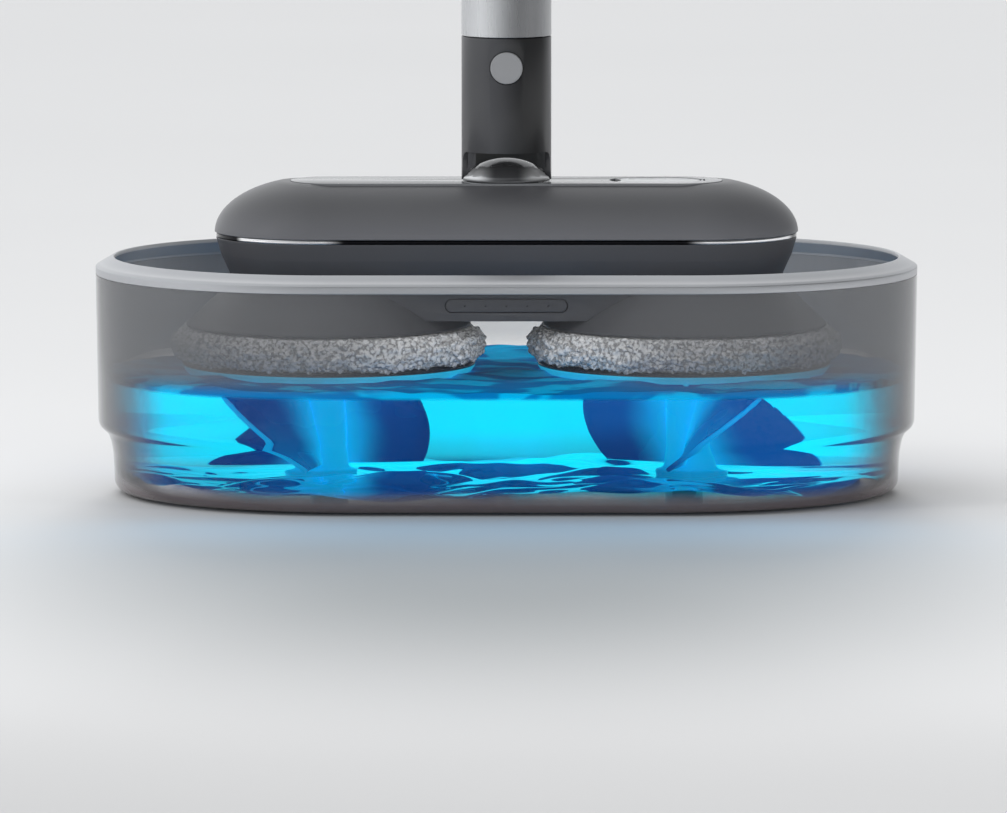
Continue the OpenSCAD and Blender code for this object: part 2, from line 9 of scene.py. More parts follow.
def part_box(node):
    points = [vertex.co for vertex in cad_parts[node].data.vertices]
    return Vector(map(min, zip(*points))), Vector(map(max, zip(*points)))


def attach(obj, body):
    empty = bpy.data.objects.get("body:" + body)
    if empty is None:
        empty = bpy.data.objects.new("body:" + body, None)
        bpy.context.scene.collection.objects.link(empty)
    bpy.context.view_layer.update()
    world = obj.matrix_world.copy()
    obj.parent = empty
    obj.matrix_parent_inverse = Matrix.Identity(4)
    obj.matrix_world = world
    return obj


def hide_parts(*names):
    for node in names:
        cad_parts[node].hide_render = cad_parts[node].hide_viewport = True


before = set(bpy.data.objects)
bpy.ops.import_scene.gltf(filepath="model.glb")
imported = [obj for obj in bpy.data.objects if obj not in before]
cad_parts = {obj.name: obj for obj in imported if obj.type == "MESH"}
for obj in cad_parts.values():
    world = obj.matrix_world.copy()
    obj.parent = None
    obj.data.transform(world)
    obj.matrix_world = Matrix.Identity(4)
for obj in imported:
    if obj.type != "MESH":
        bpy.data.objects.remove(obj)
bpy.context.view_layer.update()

bl_info = {
    "name": "Floor Scrubber in Wash Tub",
    "version": (1, 0, 0),
    "blender": (4, 5, 0),
    "location": "View3D > Sidebar > Scrubber",
    "description": "Builds the visible pieces of an upright floor scrubber and its wash tub",
    "category": "Object",
}

MM = 0.001
UP = Vector((0, 0, 1))
ALONG = Vector((1, 0, 0))
BACK = Vector((0, 1, 0))

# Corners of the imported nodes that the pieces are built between, in metres.
TUB_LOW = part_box("tub_shell")[0]
RIM_LOW, RIM_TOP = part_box("tub_rim")
WATER_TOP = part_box("wash_water")[1]
HOUSING_LOW, HOUSING_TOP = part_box("lower_housing")
TRIM_LOW, TRIM_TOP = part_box("trim_ring")
COVER_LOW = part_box("upper_cover")[0]
PANEL_LOW, PANEL_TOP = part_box("top_panel")
CAP_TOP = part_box("filler_cap")[1]
KNUCKLE_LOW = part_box("swivel_knuckle")[0]
NECK_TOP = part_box("neck_sleeve")[1]
BODY_TUBE_LOW, BODY_TUBE_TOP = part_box("body_tube")
HANDLE_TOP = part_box("handle_back")[1]


# ---------------------------------------------------------------- settings

class TubSettings(bpy.types.PropertyGroup):
    smoke: bpy.props.FloatVectorProperty(
        name="Smoke", description="Colour of the smoky wall", subtype="COLOR",
        default=(0.130, 0.133, 0.140), min=0, max=1)
    haze: bpy.props.FloatProperty(
        name="Haze", description="How much one face of the wall hides", subtype="FACTOR",
        default=0.05, min=0, max=1)
    silver: bpy.props.FloatVectorProperty(
        name="Rim", description="Colour of the silver rim", subtype="COLOR",
        default=(0.44, 0.45, 0.47), min=0, max=1)


class WaterSettings(bpy.types.PropertyGroup):
    tint: bpy.props.FloatVectorProperty(
        name="Tint", description="Colour that the water gives to light passing through", subtype="COLOR",
        default=(0.002, 0.83, 0.98), min=0, max=1)
    # Painted glow: the water emits this light though it is no lamp.
    glow: bpy.props.FloatVectorProperty(
        name="Glow", description="Light scattered inside the water", subtype="COLOR",
        default=(0.0, 0.04, 0.14), min=0, max=1)
    wave: bpy.props.FloatProperty(
        name="Wave height", description="Height of the ripples, trough to crest", unit="LENGTH",
        default=0.006, min=0, max=0.01)
    impeller: bpy.props.FloatVectorProperty(
        name="Impeller", description="Colour of the impeller blades", subtype="COLOR",
        default=(0.0, 0.05, 0.26), min=0, max=1)


class PadSettings(bpy.types.PropertyGroup):
    fluff: bpy.props.FloatVectorProperty(
        name="Fluff", description="Colour of the tips of the pile", subtype="COLOR",
        default=(0.93, 0.935, 0.95), min=0, max=1)
    pile: bpy.props.FloatProperty(
        name="Pile depth", description="Depth of the gaps in the pile", unit="LENGTH",
        default=0.0042, min=0, max=0.006)


class HeadSettings(bpy.types.PropertyGroup):
    cover: bpy.props.FloatVectorProperty(
        name="Cover", description="Colour of the upper cover", subtype="COLOR",
        default=(0.062, 0.063, 0.068), min=0, max=1)
    housing: bpy.props.FloatVectorProperty(
        name="Housing", description="Colour of the lower housing and bells", subtype="COLOR",
        default=(0.060, 0.061, 0.067), min=0, max=1)
    panel: bpy.props.FloatVectorProperty(
        name="Panel", description="Colour of the glossy top panel", subtype="COLOR",
        default=(0.12, 0.125, 0.132), min=0, max=1)


class PoleSettings(bpy.types.PropertyGroup):
    neck: bpy.props.FloatVectorProperty(
        name="Neck", description="Colour of the neck sleeve", subtype="COLOR",
        default=(0.045, 0.046, 0.05), min=0, max=1)
    tube: bpy.props.FloatVectorProperty(
        name="Tube", description="Colour of the brushed tubes", subtype="COLOR",
        default=(0.61, 0.62, 0.635), min=0, max=1)


class StageSettings(bpy.types.PropertyGroup):
    floor: bpy.props.FloatVectorProperty(
        name="Floor", description="Colour of the floor", subtype="COLOR",
        default=(0.60, 0.60, 0.603), min=0, max=1)
    sun: bpy.props.FloatProperty(
        name="Key light", description="Strength of the soft key light", default=0.95, min=0, max=10)
    sky: bpy.props.FloatProperty(
        name="Surrounding light", description="Strength of the light from all round", default=0.5,
        min=0, max=5)


# ---------------------------------------------------------------- modelling tools

def rounded(corners, closed=False, steps=4):
    """Outline in metres through (radius, height, fillet) corners in millimetres, fillets as arcs."""
    out = []
    count = len(corners)
    for i, (radius, height, fillet) in enumerate(corners):
        here = Vector((radius, height))
        if fillet <= 0 or (not closed and i in (0, count - 1)):
            out.append(here * MM)
            continue
        before = Vector(corners[i - 1][:2]) - here
        after = Vector(corners[(i + 1) % count][:2]) - here
        half = before.angle(after) / 2
        reach = min(fillet / math.tan(half), 0.48 * before.length, 0.48 * after.length)
        middle = here + (before.normalized() + after.normalized()).normalized() * reach / math.cos(half)
        first = here + before.normalized() * reach - middle
        last = here + after.normalized() * reach - middle
        turn = math.atan2(first.x * last.y - first.y * last.x, first.dot(last))
        for k in range(steps + 1):
            out.append((middle + Matrix.Rotation(turn * k / steps, 2) @ first) * MM)
    if closed:
        out.append(out[0])
    return out


def clear_selection():
    if bpy.context.object and bpy.context.object.mode != "OBJECT":
        bpy.ops.object.mode_set(mode="OBJECT")
    bpy.ops.object.select_all(action="DESELECT")


def focus(piece):
    clear_selection()
    piece.select_set(True)
    bpy.context.view_layer.objects.active = piece


def pick(piece, test):
    """In edit mode, selects the vertices that pass the test."""
    bpy.ops.mesh.select_mode(type="VERT")
    bpy.ops.mesh.select_all(action="DESELECT")
    shape = bmesh.from_edit_mesh(piece.data)
    for vertex in shape.verts:
        if test(vertex.co):
            vertex.select_set(True)
    shape.select_flush(True)
    bmesh.update_edit_mesh(piece.data)


def draw(name, points):
    """Draws an open outline: one vertex, extruded on to each next point."""
    clear_selection()
    bpy.ops.mesh.primitive_plane_add(size=MM, location=points[0])
    piece = bpy.context.object
    piece.name = name
    bpy.ops.object.transform_apply(location=True, rotation=False, scale=False)
    bpy.ops.object.mode_set(mode="EDIT")
    bpy.ops.mesh.select_all(action="SELECT")
    bpy.ops.mesh.merge(type="CENTER")
    for here, there in zip(points, points[1:]):
        bpy.ops.mesh.extrude_region_move(TRANSFORM_OT_translate={"value": there - here})
    return piece


def close_shape():
    """In edit mode, merges seams and poles and turns the faces outwards."""
    bpy.ops.mesh.select_mode(type="VERT")
    bpy.ops.mesh.select_all(action="SELECT")
    bpy.ops.mesh.remove_doubles(threshold=0.00001)
    bpy.ops.mesh.dissolve_degenerate(threshold=0.000005)
    bpy.ops.mesh.select_all(action="SELECT")
    bpy.ops.mesh.normals_make_consistent(inside=False)
    bpy.ops.object.mode_set(mode="OBJECT")


def lathe(name, profile, base=(0, 0, 0), axis=UP, steps=72, angle=360):
    """Spins a (radius, height) outline about an axis through base."""
    axis = Vector(axis)
    base = Vector(base)
    side = ALONG if abs(axis.x) < 0.5 else BACK
    piece = draw(name, [base + side * p[0] + axis * p[1] for p in profile])
    bpy.ops.mesh.select_all(action="SELECT")
    bpy.ops.mesh.spin(steps=steps, angle=math.radians(angle), center=base, axis=axis)
    if angle < 360:
        bpy.ops.mesh.select_mode(type="EDGE")
        bpy.ops.mesh.select_all(action="SELECT")
        bpy.ops.mesh.remove_doubles(threshold=0.00001)
        bpy.ops.mesh.select_all(action="DESELECT")
        bpy.ops.mesh.select_non_manifold(extend=False)
        bpy.ops.mesh.edge_face_add()
    close_shape()
    return piece


def capsule(name, profile, half, base=(0, 0, 0), along=ALONG, up=UP, steps=40):
    """Carries a (radius, height) outline round a stadium whose end centres are half apart from base."""
    base, along, up = Vector(base), Vector(along), Vector(up)
    side = up.cross(along)
    piece = draw(name, [base + along * half - side * p[0] + up * p[1] for p in profile])
    straight = along * 2 * half
    bpy.ops.mesh.select_all(action="SELECT")
    for turn in (1, -1):
        bpy.ops.mesh.spin(steps=steps, angle=-math.pi, center=base + along * half * turn, axis=up)
        bpy.ops.mesh.extrude_region_move(TRANSFORM_OT_translate={"value": -straight * turn})
    close_shape()
    return piece


def block(name, low, high):
    """A box between two corners in millimetres, a start for cutters and small parts."""
    clear_selection()
    low, high = Vector(low) * MM, Vector(high) * MM
    bpy.ops.mesh.primitive_cube_add(size=1, location=(low + high) / 2, scale=high - low)
    piece = bpy.context.object
    piece.name = name
    bpy.ops.object.transform_apply(location=True, rotation=False, scale=True)
    return piece


def prism(name, outline, half):
    """A closed outline, drawn in Y and Z in metres, drawn out along X both ways."""
    piece = draw(name, [Vector((-half, point.x, point.y)) for point in outline])
    close_shape()
    bpy.ops.object.mode_set(mode="EDIT")
    bpy.ops.mesh.select_all(action="SELECT")
    bpy.ops.mesh.edge_face_add()
    bpy.ops.mesh.extrude_region_move(TRANSFORM_OT_translate={"value": (half * 2, 0, 0)})
    bpy.ops.mesh.select_all(action="SELECT")
    bpy.ops.mesh.normals_make_consistent(inside=False)
    bpy.ops.object.mode_set(mode="OBJECT")
    return piece


def sheet(name, middle, width, height, columns, rows, upright=False):
    """A flat grid of faces, lying down or standing up facing the front, in millimetres."""
    clear_selection()
    bpy.ops.mesh.primitive_grid_add(x_subdivisions=columns, y_subdivisions=rows, size=1,
                                    location=Vector(middle) * MM,
                                    rotation=(math.radians(90 if upright else 0), 0, 0))
    piece = bpy.context.object
    piece.name = name
    piece.scale = (width * MM, height * MM, 1)
    bpy.ops.object.transform_apply(location=True, rotation=True, scale=True)
    return piece


def modify(piece, kind, **settings):
    """Adds a modifier, sets it and applies it."""
    focus(piece)
    modifier = piece.modifiers.new(kind.title(), kind)
    for name, value in settings.items():
        setattr(modifier, name, value)
    bpy.ops.object.modifier_apply(modifier=modifier.name)


def soften(piece, width, segments=3, angle=32):
    """Rounds every edge sharper than angle, width in millimetres."""
    modify(piece, "BEVEL", width=width * MM, segments=segments, limit_method="ANGLE",
           angle_limit=math.radians(angle), use_clamp_overlap=True, miter_outer="MITER_ARC")


def carve(piece, *cutters, operation="DIFFERENCE"):
    """Cuts the cutters out of a piece, or joins or keeps their overlap, and removes them."""
    for cutter in cutters:
        modify(piece, "BOOLEAN", object=cutter, operation=operation, solver="EXACT")
        bpy.data.objects.remove(cutter)


def join(piece, *others):
    focus(piece)
    for other in others:
        other.select_set(True)
    bpy.ops.object.join()
    return piece


def copy_across(piece, name):
    """A copy of a piece mirrored to the other side of the middle plane."""
    focus(piece)
    bpy.ops.object.duplicate()
    twin = bpy.context.object
    twin.name = name
    twin.data.name = name
    bpy.ops.object.mode_set(mode="EDIT")
    bpy.ops.mesh.select_all(action="SELECT")
    bpy.ops.transform.mirror(constraint_axis=(True, False, False), center_override=(0, 0, 0))
    bpy.ops.mesh.normals_make_consistent(inside=False)
    bpy.ops.object.mode_set(mode="OBJECT")
    return twin


def settle(piece, finish, body, slot, *nodes, smooth=34, padded=None):
    """Shades a finished piece, gives it its material and body, and hides the nodes it stands for. The
    slot is not used.
    """
    focus(piece)
    bpy.ops.object.transform_apply(location=True, rotation=True, scale=True)
    bpy.ops.object.shade_smooth_by_angle(angle=math.radians(smooth))
    piece.data.materials.clear()
    piece.data.materials.append(finish)
    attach(piece, body)
    if nodes:
        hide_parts(*nodes)
    return piece


# ---------------------------------------------------------------- shader tools

class Value:
    """One shader socket. Arithmetic on it adds Math nodes to its material."""

    def __init__(self, finish, link):
        self.finish = finish
        self.link = link

    def _math(self, operation, first, second=0.0, clamp=False):
        return self.finish.node("ShaderNodeMath", {"operation": operation, "use_clamp": clamp},
                                {0: first, 1: second})

    def __add__(self, other): return self._math("ADD", self, other)
    def __radd__(self, other): return self._math("ADD", other, self)
    def __sub__(self, other): return self._math("SUBTRACT", self, other)
    def __rsub__(self, other): return self._math("SUBTRACT", other, self)
    def __mul__(self, other): return self._math("MULTIPLY", self, other)
    def __rmul__(self, other): return self._math("MULTIPLY", other, self)
    def __truediv__(self, other): return self._math("DIVIDE", self, other)
    def __pow__(self, other): return self._math("POWER", self, other)
    def __abs__(self): return self._math("ABSOLUTE", self)

    def clamped(self): return self._math("ADD", self, 0.0, clamp=True)

    def step(self, low, high):
        """Smoothly 0 below low and 1 above high."""
        return self.finish.node("ShaderNodeMapRange", {"interpolation_type": "SMOOTHSTEP"},
                                {"Value": self, "From Min": low, "From Max": high})


class Finish:
    """A material in the making: a Principled shader and the nodes that vary it."""

    def __init__(self, name, **constants):
        self.material = bpy.data.materials.new(name)
        self.material.use_nodes = True
        self.tree = self.material.node_tree
        self.shader = self.tree.nodes["Principled BSDF"]
        self.constants(**constants)
        self.place = self.node("ShaderNodeTexCoord", {}, {}, output="Object")

    def constants(self, **values):
        for name, value in values.items():
            socket = self.shader.inputs[name.replace("_", " ")]
            is_colour = hasattr(value, "__len__") and len(value) == 3
            socket.default_value = (*value, 1.0) if is_colour else value

    def node(self, kind, settings, values, output=0):
        """Adds a node: its settings first, then the values or links of its sockets."""
        node = self.tree.nodes.new(kind)
        for name, value in settings.items():
            setattr(node, name, value)
        for name, value in values.items():
            socket = node.inputs[name]
            if isinstance(value, Value):
                self.tree.links.new(value.link, socket)
            elif hasattr(value, "__len__") and len(value) == 3 and socket.type == "RGBA":
                socket.default_value = (*value, 1.0)
            else:
                socket.default_value = value
        return Value(self, node.outputs[output])

    def feed(self, **links):
        for name, value in links.items():
            self.tree.links.new(value.link, self.shader.inputs[name.replace("_", " ")])
        return self

    def cover(self, factor, shader):
        """Lays a second shader over the first, by a factor."""
        under = Value(self, self.shader.outputs[0])
        mixed = self.node("ShaderNodeMixShader", {}, {0: factor, 1: under, 2: shader})
        self.tree.links.new(mixed.link, self.tree.nodes["Material Output"].inputs["Surface"])

    def axis(self, letter, place=None):
        return self.node("ShaderNodeSeparateXYZ", {}, {0: place or self.place}, output=letter)

    def stretched(self, scale, place=None):
        return self.node("ShaderNodeMapping", {}, {"Vector": place or self.place, "Scale": scale})

    def noise(self, scale, detail=2.0, roughness=0.5, place=None, distortion=0.0):
        return self.node("ShaderNodeTexNoise", {}, {"Vector": place or self.place, "Scale": scale,
                         "Detail": detail, "Roughness": roughness, "Distortion": distortion})

    def cells(self, scale, place=None, feature="F1"):
        return self.node("ShaderNodeTexVoronoi", {"feature": feature},
                         {"Vector": place or self.place, "Scale": scale}, output="Distance")

    def blend(self, factor, first, second):
        """Mixes two colours."""
        return self.node("ShaderNodeMix", {"data_type": "RGBA"}, {0: factor, 6: first, 7: second},
                         output=2)

    def bump(self, height, strength, depth):
        return self.node("ShaderNodeBump", {}, {"Strength": strength, "Distance": depth,
                         "Height": height})


def moulded(name, colour, roughness=0.4, grain=0.12, coat=0.0, specular=0.5, painted_side_shade=0.0, painted_light_below=None,
            painted_shade_radius=None):
    """Moulded plastic with a fine grain and faint clouding.

    If asked, one side of it is darker as painted shade, it lightens below a height as painted light, or
    it is black inside a radius as painted shade.
    """
    finish = Finish(name, Coat_Weight=coat, Specular_IOR_Level=specular, Coat_Roughness=0.12)
    cloud = finish.noise(22.0, 3.0)
    fine = finish.noise(1500.0, 2.0)
    shade = tuple(c * 1.1 for c in colour)
    deep = tuple(c * 0.92 for c in colour)
    flank = finish.axis("X")
    # Painted shade: darkens the right-hand side from the middle out, easing off at the very edge.
    dark = flank.step(-0.010, 0.012) * (1 - flank.step(0.020, 0.026)) * painted_side_shade
    body = finish.blend(cloud, deep, shade)
    # Painted light: below the given height the colour is lightened.
    if painted_light_below:
        body = finish.blend(finish.axis("Z").step(*painted_light_below), tuple(c * 1.9 for c in colour), body)
    # Painted shade: inside the given radius from the upright axis the colour is made black.
    if painted_shade_radius:
        across, depth = finish.axis("X"), finish.axis("Y")
        radius = (across * across + depth * depth) ** 0.5
        dark = (dark + 1 - radius.step(painted_shade_radius - 0.0002, painted_shade_radius)).clamped()
    # The near-black is the painted shade, laid where the shade masks fall.
    finish.feed(Base_Color=finish.blend(dark, body, (0.004, 0.004, 0.004)),
                Roughness=cloud * 0.08 + (roughness - 0.04),
                Normal=finish.bump(fine, grain, 0.00003))
    return finish.material


def rubbery(name, colour):
    finish = Finish(name, Specular_IOR_Level=0.35)
    cloud = finish.noise(60.0, 4.0)
    pits = finish.cells(1500.0)
    deep, pale = (tuple(c * share for c in colour) for share in (0.8, 1.25))
    finish.feed(Base_Color=finish.blend(cloud, deep, pale),
                Roughness=cloud * 0.15 + 0.68,
                Normal=finish.bump(pits, 0.25, 0.0001))
    return finish.material


def brushed(name, colour, stretch=(1.0, 1.0, 0.02), roughness=0.28, metallic=0.9, painted_side_shade=0.0):
    """Metal with a fine brushed grain drawn out along one axis."""
    finish = Finish(name)
    lines = finish.noise(1800.0, 3.0, place=finish.stretched(stretch))
    cloud = finish.noise(12.0, 2.0)
    finish.constants(Metallic=metallic)
    # Painted shade: the right-hand side is darkened to dark grey from the middle out, easing off towards
    # the edge.
    flank = finish.axis("X")
    dark = flank.step(-0.010, 0.008) * (1 - flank.step(0.016, 0.028) * 0.5) * painted_side_shade
    grain = finish.blend(lines, tuple(c * 0.88 for c in colour), tuple(c * 1.08 for c in colour))
    finish.feed(Base_Color=finish.blend(dark, grain, (0.02, 0.02, 0.022)),
                Roughness=lines * 0.12 + cloud * 0.05 + (roughness - 0.08),
                Normal=finish.bump(lines, 0.1, 0.00005))
    return finish.material


def stadium_radius(finish):
    """Distance from the line that joins the centres of the tub's two round ends."""
    outwards = (abs(finish.axis("X")) - END * MM).clamped()
    depth = finish.axis("Y")
    return (outwards * outwards + depth * depth) ** 0.5


def domed_metal():
    """Shiny dome: pale bands painted on both flanks as reflections, dark in the middle, at the top and
    along its foot.
    """
    finish = Finish("dome_polished_grey", Metallic=0.6)
    height = finish.axis("Z")
    reach = abs(finish.axis("X"))
    cloud = finish.noise(40.0, 2.0)
    # Painted reflection: pale bands on both flanks, between two heights.
    band = reach.step(0.006, 0.019) * (1 - height.step(0.187, 0.192)) * height.step(0.1815, 0.1840)
    finish.feed(Base_Color=finish.blend(band, (0.085, 0.087, 0.092), (0.66, 0.67, 0.68)),
                Roughness=cloud * 0.05 + 0.16)
    return finish.material


def smoky_wall(settings):
    """See-through smoky plastic: dense round the ends above the water and along the foot."""
    finish = Finish("smoky_plastic", Specular_IOR_Level=0.6, IOR=1.49)
    slant = finish.node("ShaderNodeLayerWeight", {}, {"Blend": 0.5}, output="Facing")
    height = finish.axis("Z")
    reach = abs(finish.axis("X"))
    cloud = finish.noise(9.0, 2.0)
    dry = height.step(0.066, 0.082)
    behind = finish.axis("Y").step(-0.02, 0.05)
    # Painted light: the inner face of the back wall above the water is given a pale grey.
    inside = behind * dry * (1 - stadium_radius(finish).step(0.1312, 0.1325))
    above = reach.step(0.03, 0.13) * (behind * 0.42 + 0.30)
    above = above + reach.step(0.14, 0.20) * (1 - behind) * 0.30
    below = (reach + cloud * 0.02).step(0.204, 0.243) * 0.72
    foot = (1 - (height + cloud * 0.004).step(0.007, 0.017)) * 0.7
    edge = slant ** 4.0 * 0.5
    over_water = dry * (above + behind * 0.16 + settings.haze)
    smoke = finish.blend(foot * 1.4, tuple(settings.smoke), (0.12, 0.10, 0.105))
    finish.feed(Alpha=(over_water + (1 - dry) * below + foot + edge).clamped(),
                # The pale grey is painted light on the back wall's inner face.
                Base_Color=finish.blend(inside, smoke, (0.48, 0.485, 0.50)),
                Roughness=cloud * 0.03 + 0.08)
    return finish.material


def rim_silver(settings):
    finish = Finish("rim_silver_paint")
    cloud = finish.noise(6.0, 2.0)
    flake = finish.noise(3200.0, 1.0)
    colour = tuple(settings.silver)
    radius = stadium_radius(finish)
    slope = (radius - 0.1244) * -0.434 + RIM_TOP.z
    # Painted light: the rim's inner under-face is a pale flat grey instead of metallic silver, so that
    # it reads lighter.
    inside = (slope - finish.axis("Z")).step(0.0006, 0.0016) * (1 - radius.step(0.132, 0.1335))
    silver = finish.blend(cloud, tuple(c * 0.95 for c in colour), tuple(c * 1.05 for c in colour))
    finish.feed(Base_Color=finish.blend(inside, silver, (0.55, 0.555, 0.57)),
                Metallic=0.75 - inside * 0.75,
                Roughness=flake * 0.1 + 0.27 + inside * 0.2,
                Normal=finish.bump(flake, 0.06, 0.00004))
    return finish.material


def blue_water(settings):
    """Clear, strongly tinted water whose colour carries painted shade at the bottom, the ends and the
    surface, with painted glow in deeper and brighter drifts.
    """
    finish = Finish("blue_water", Transmission_Weight=1.0, IOR=1.33, Emission_Strength=1.0)
    height = finish.axis("Z")
    reach = abs(finish.axis("X"))
    drift = finish.noise(10.0, 2.0, distortion=0.8, place=finish.stretched((1.0, 1.0, 0.5)))
    curl = finish.noise(34.0, 1.0, distortion=2.2, place=finish.stretched((1.0, 1.0, 0.45)))
    skin = finish.noise(26.0, 2.0, distortion=1.6, place=finish.stretched((0.45, 1.0, 1.0)))
    # Painted shade: the water is coloured darker towards the bottom.
    low = 1 - (height + drift * 0.008).step(0.014, 0.036)
    top = height.step(0.0655, 0.0685)
    # Painted shade: both ends are darker, in wobbly patches.
    ends = (reach + drift * 0.03).step(0.208, 0.232)
    tint, glow = tuple(settings.tint), tuple(settings.glow)
    # Painted shade: the right-hand end is a darker blue.
    flank = finish.axis("X").step(0.15, 0.215)
    body = finish.blend(flank * 0.7, tint, (0.0, 0.50, 0.66))
    body = finish.blend(low * 0.92, body, (0.10, 0.30, 0.36))
    body = finish.blend(ends * (curl.step(0.46, 0.54) * 0.55 + 0.35), body, (0.22, 0.34, 0.42))
    # Painted shade on the surface: a dark blue, with lighter painted patches.
    patch = skin.step(0.47, 0.56)
    body = finish.blend(top * (1 - patch) * 0.98, body, (0.0, 0.16, 0.50))
    # Painted glow: the emission stands in for light inside the water, brighter in drifts and dimmer at
    # the surface, the bottom and the ends.
    dim, bright = (tuple(c * share for c in glow) for share in (0.4, 1.5))
    light = finish.blend(drift.step(0.38, 0.62), dim, bright)
    light = finish.blend(top * 0.8, light, (0.0, 0.012, 0.05))
    finish.feed(Base_Color=body,
                Emission_Color=finish.blend(low * 0.8 + ends * 0.2, light, tuple(c * 0.3 for c in glow)),
                Roughness=drift * 0.008)
    # The surface layer: a flat dark blue with lighter patches, painted shade laid over the clear water.
    deep = finish.node("ShaderNodeBsdfPrincipled", {}, {
        "Base Color": finish.blend(patch, (0.0, 0.17, 0.46), (0.0, 0.42, 0.78)), "Roughness": 0.25,
        "Specular IOR Level": 0.0}, output="BSDF")
    finish.cover(top * 0.985, deep)
    return finish.material


def blue_blade(settings):
    """Impeller plastic: painted light, paler and glowing at the hub and deepening outwards, with a
    painted highlight along the blade tips.
    """
    finish = Finish("impeller_blue_plastic", Specular_IOR_Level=0.5, Emission_Strength=1.0)
    across = abs(finish.axis("X")) - END * MM
    depth = finish.axis("Y")
    cloud = finish.noise(18.0, 2.0)
    radius = (across * across + depth * depth) ** 0.5
    # Painted light: paler near the hub, deepening outwards.
    outer = (radius + (cloud - 0.5) * 0.02).step(0.006, 0.036)
    deep = tuple(settings.impeller)
    light = tuple(min(1.0, c * 3.0 + 0.02) for c in deep)
    # Painted highlight: a pale band along the outer tips of the blades.
    lip = radius.step(0.0576, 0.0584) * across.step(-0.01, 0.01)
    # Painted glow: emission at the hub and along the painted highlight.
    painted_glow = finish.blend(outer, (0.0, 0.36, 0.50), (0.0, 0.010, 0.06))
    finish.feed(Base_Color=finish.blend(lip, finish.blend(outer, light, deep), (0.05, 0.50, 0.80)),
                Emission_Color=finish.blend(lip * 0.6, painted_glow, (0.02, 0.30, 0.50)),
                Roughness=cloud * 0.1 + 0.22)
    return finish.material


def disc_blue():
    finish = Finish("turntable_blue_plastic", Transmission_Weight=0.25, Emission_Strength=1.0)
    cloud = finish.noise(25.0, 2.0)
    shadow = finish.axis("Z").step(0.0744, 0.0750)
    blue = finish.blend(cloud, (0.03, 0.42, 0.72), (0.06, 0.60, 0.86))
    # Painted glow: the disc emits light, except on its shadowed top.
    painted_glow = finish.blend(cloud, (0.0, 0.16, 0.26), (0.0, 0.24, 0.34))
    finish.feed(Base_Color=finish.blend(shadow, blue, (0.004, 0.006, 0.012)),
                Emission_Color=finish.blend(shadow, painted_glow, (0.0, 0.0, 0.0)),
                Roughness=cloud * 0.1 + 0.18)
    return finish.material


def chenille(settings):
    """Short twisted pile: light tips, with painted shade in the gaps between them."""
    finish = Finish("grey_chenille", Specular_IOR_Level=0.2, Sheen_Weight=0.6, Sheen_Roughness=0.4)
    warp = finish.noise(420.0, 2.0, distortion=0.6)
    tips = finish.cells(460.0)
    fibre = finish.noise(2600.0, 3.0, 0.7)
    # Painted shade: the gaps between the tips are darkened, and the same mask sinks them in the bump.
    gap_shade = (tips * 0.95 + (warp - 0.5) * 1.1).step(0.38, 0.78)
    colour = tuple(settings.fluff)
    light = finish.blend(fibre, tuple(c * 0.78 for c in colour), tuple(c * 1.25 for c in colour))
    finish.feed(Base_Color=finish.blend(gap_shade, light, tuple(c * 0.42 for c in colour)),
                Roughness=fibre * 0.2 + 0.75,
                Normal=finish.bump(fibre * 0.4 - gap_shade, 0.9, 0.0018))
    return finish.material


def trim_metal():
    """Polished trim, dark along the middle and at the tips of the head, with bright bands painted
    between them as reflections.
    """
    finish = Finish("polished_trim", Metallic=1.0)
    reach = abs(finish.axis("X") - 0.005)
    # Painted reflection: bright bands between the middle and the tips.
    bright = reach.step(0.098, 0.112) * (1 - reach.step(0.157, 0.161))
    scratch = finish.noise(900.0, 2.0, place=finish.stretched((0.05, 0.05, 1.0)))
    finish.feed(Base_Color=finish.blend(bright, (0.012, 0.012, 0.014), (0.93, 0.93, 0.94)),
                Roughness=scratch * 0.05 + 0.06)
    return finish.material


def soldered_board():
    finish = Finish("green_board", Specular_IOR_Level=0.5)
    tracks = finish.cells(300.0, feature="SMOOTH_F1")
    finish.feed(Base_Color=finish.blend(tracks.step(0.3, 0.5), (0.01, 0.12, 0.05), (0.03, 0.2, 0.08)),
                Roughness=tracks * 0.2 + 0.3)
    return finish.material


def clear_plastic():
    finish = Finish("frosted_tank_plastic", Transmission_Weight=0.6, IOR=1.45)
    cloud = finish.noise(30.0, 2.0)
    finish.feed(Base_Color=finish.blend(cloud, (0.72, 0.76, 0.8), (0.8, 0.84, 0.88)),
                Roughness=cloud * 0.1 + 0.3)
    return finish.material


def floor_paint(settings):
    finish = Finish("studio_floor", Specular_IOR_Level=0.05)
    cloud = finish.noise(1.3, 3.0)
    # Painted light: the floor is darker near the front and lighter far back.
    far = finish.axis("Y").step(-1.75, -0.2)
    # Painted shadow: a soft oval in front of the tub, darkened and tinted cyan as the tub's shadow and
    # glow.
    across, along = finish.axis("X") / 0.24, (finish.axis("Y") + 0.35) / 0.42
    shade = (1 - ((across * across + along * along) ** 0.5).step(0.3, 1.9)) * 0.5
    colour = tuple(settings.floor)
    open_floor = finish.blend(far * 0.9 + cloud * 0.1, tuple(c * 0.72 for c in colour),
                              tuple(min(1, c * 1.31) for c in colour))
    finish.feed(Base_Color=finish.blend(shade, open_floor, (0.0, 0.03, 0.04)),
                Roughness=cloud * 0.1 + 0.75)
    return finish.material


# ---------------------------------------------------------------- tub

END = 103.0        # millimetres from the middle to each round end's centre
STEP_INSET = [(43, 0), (41, 0.3), (39, 1.2), (37, 3.4), (35.5, 5.2), (33, 6.4), (30, 7.4), (24, 8.5),
              (15, 9.1), (9, 9.3), (4, 9.3), (0, 9.3)]


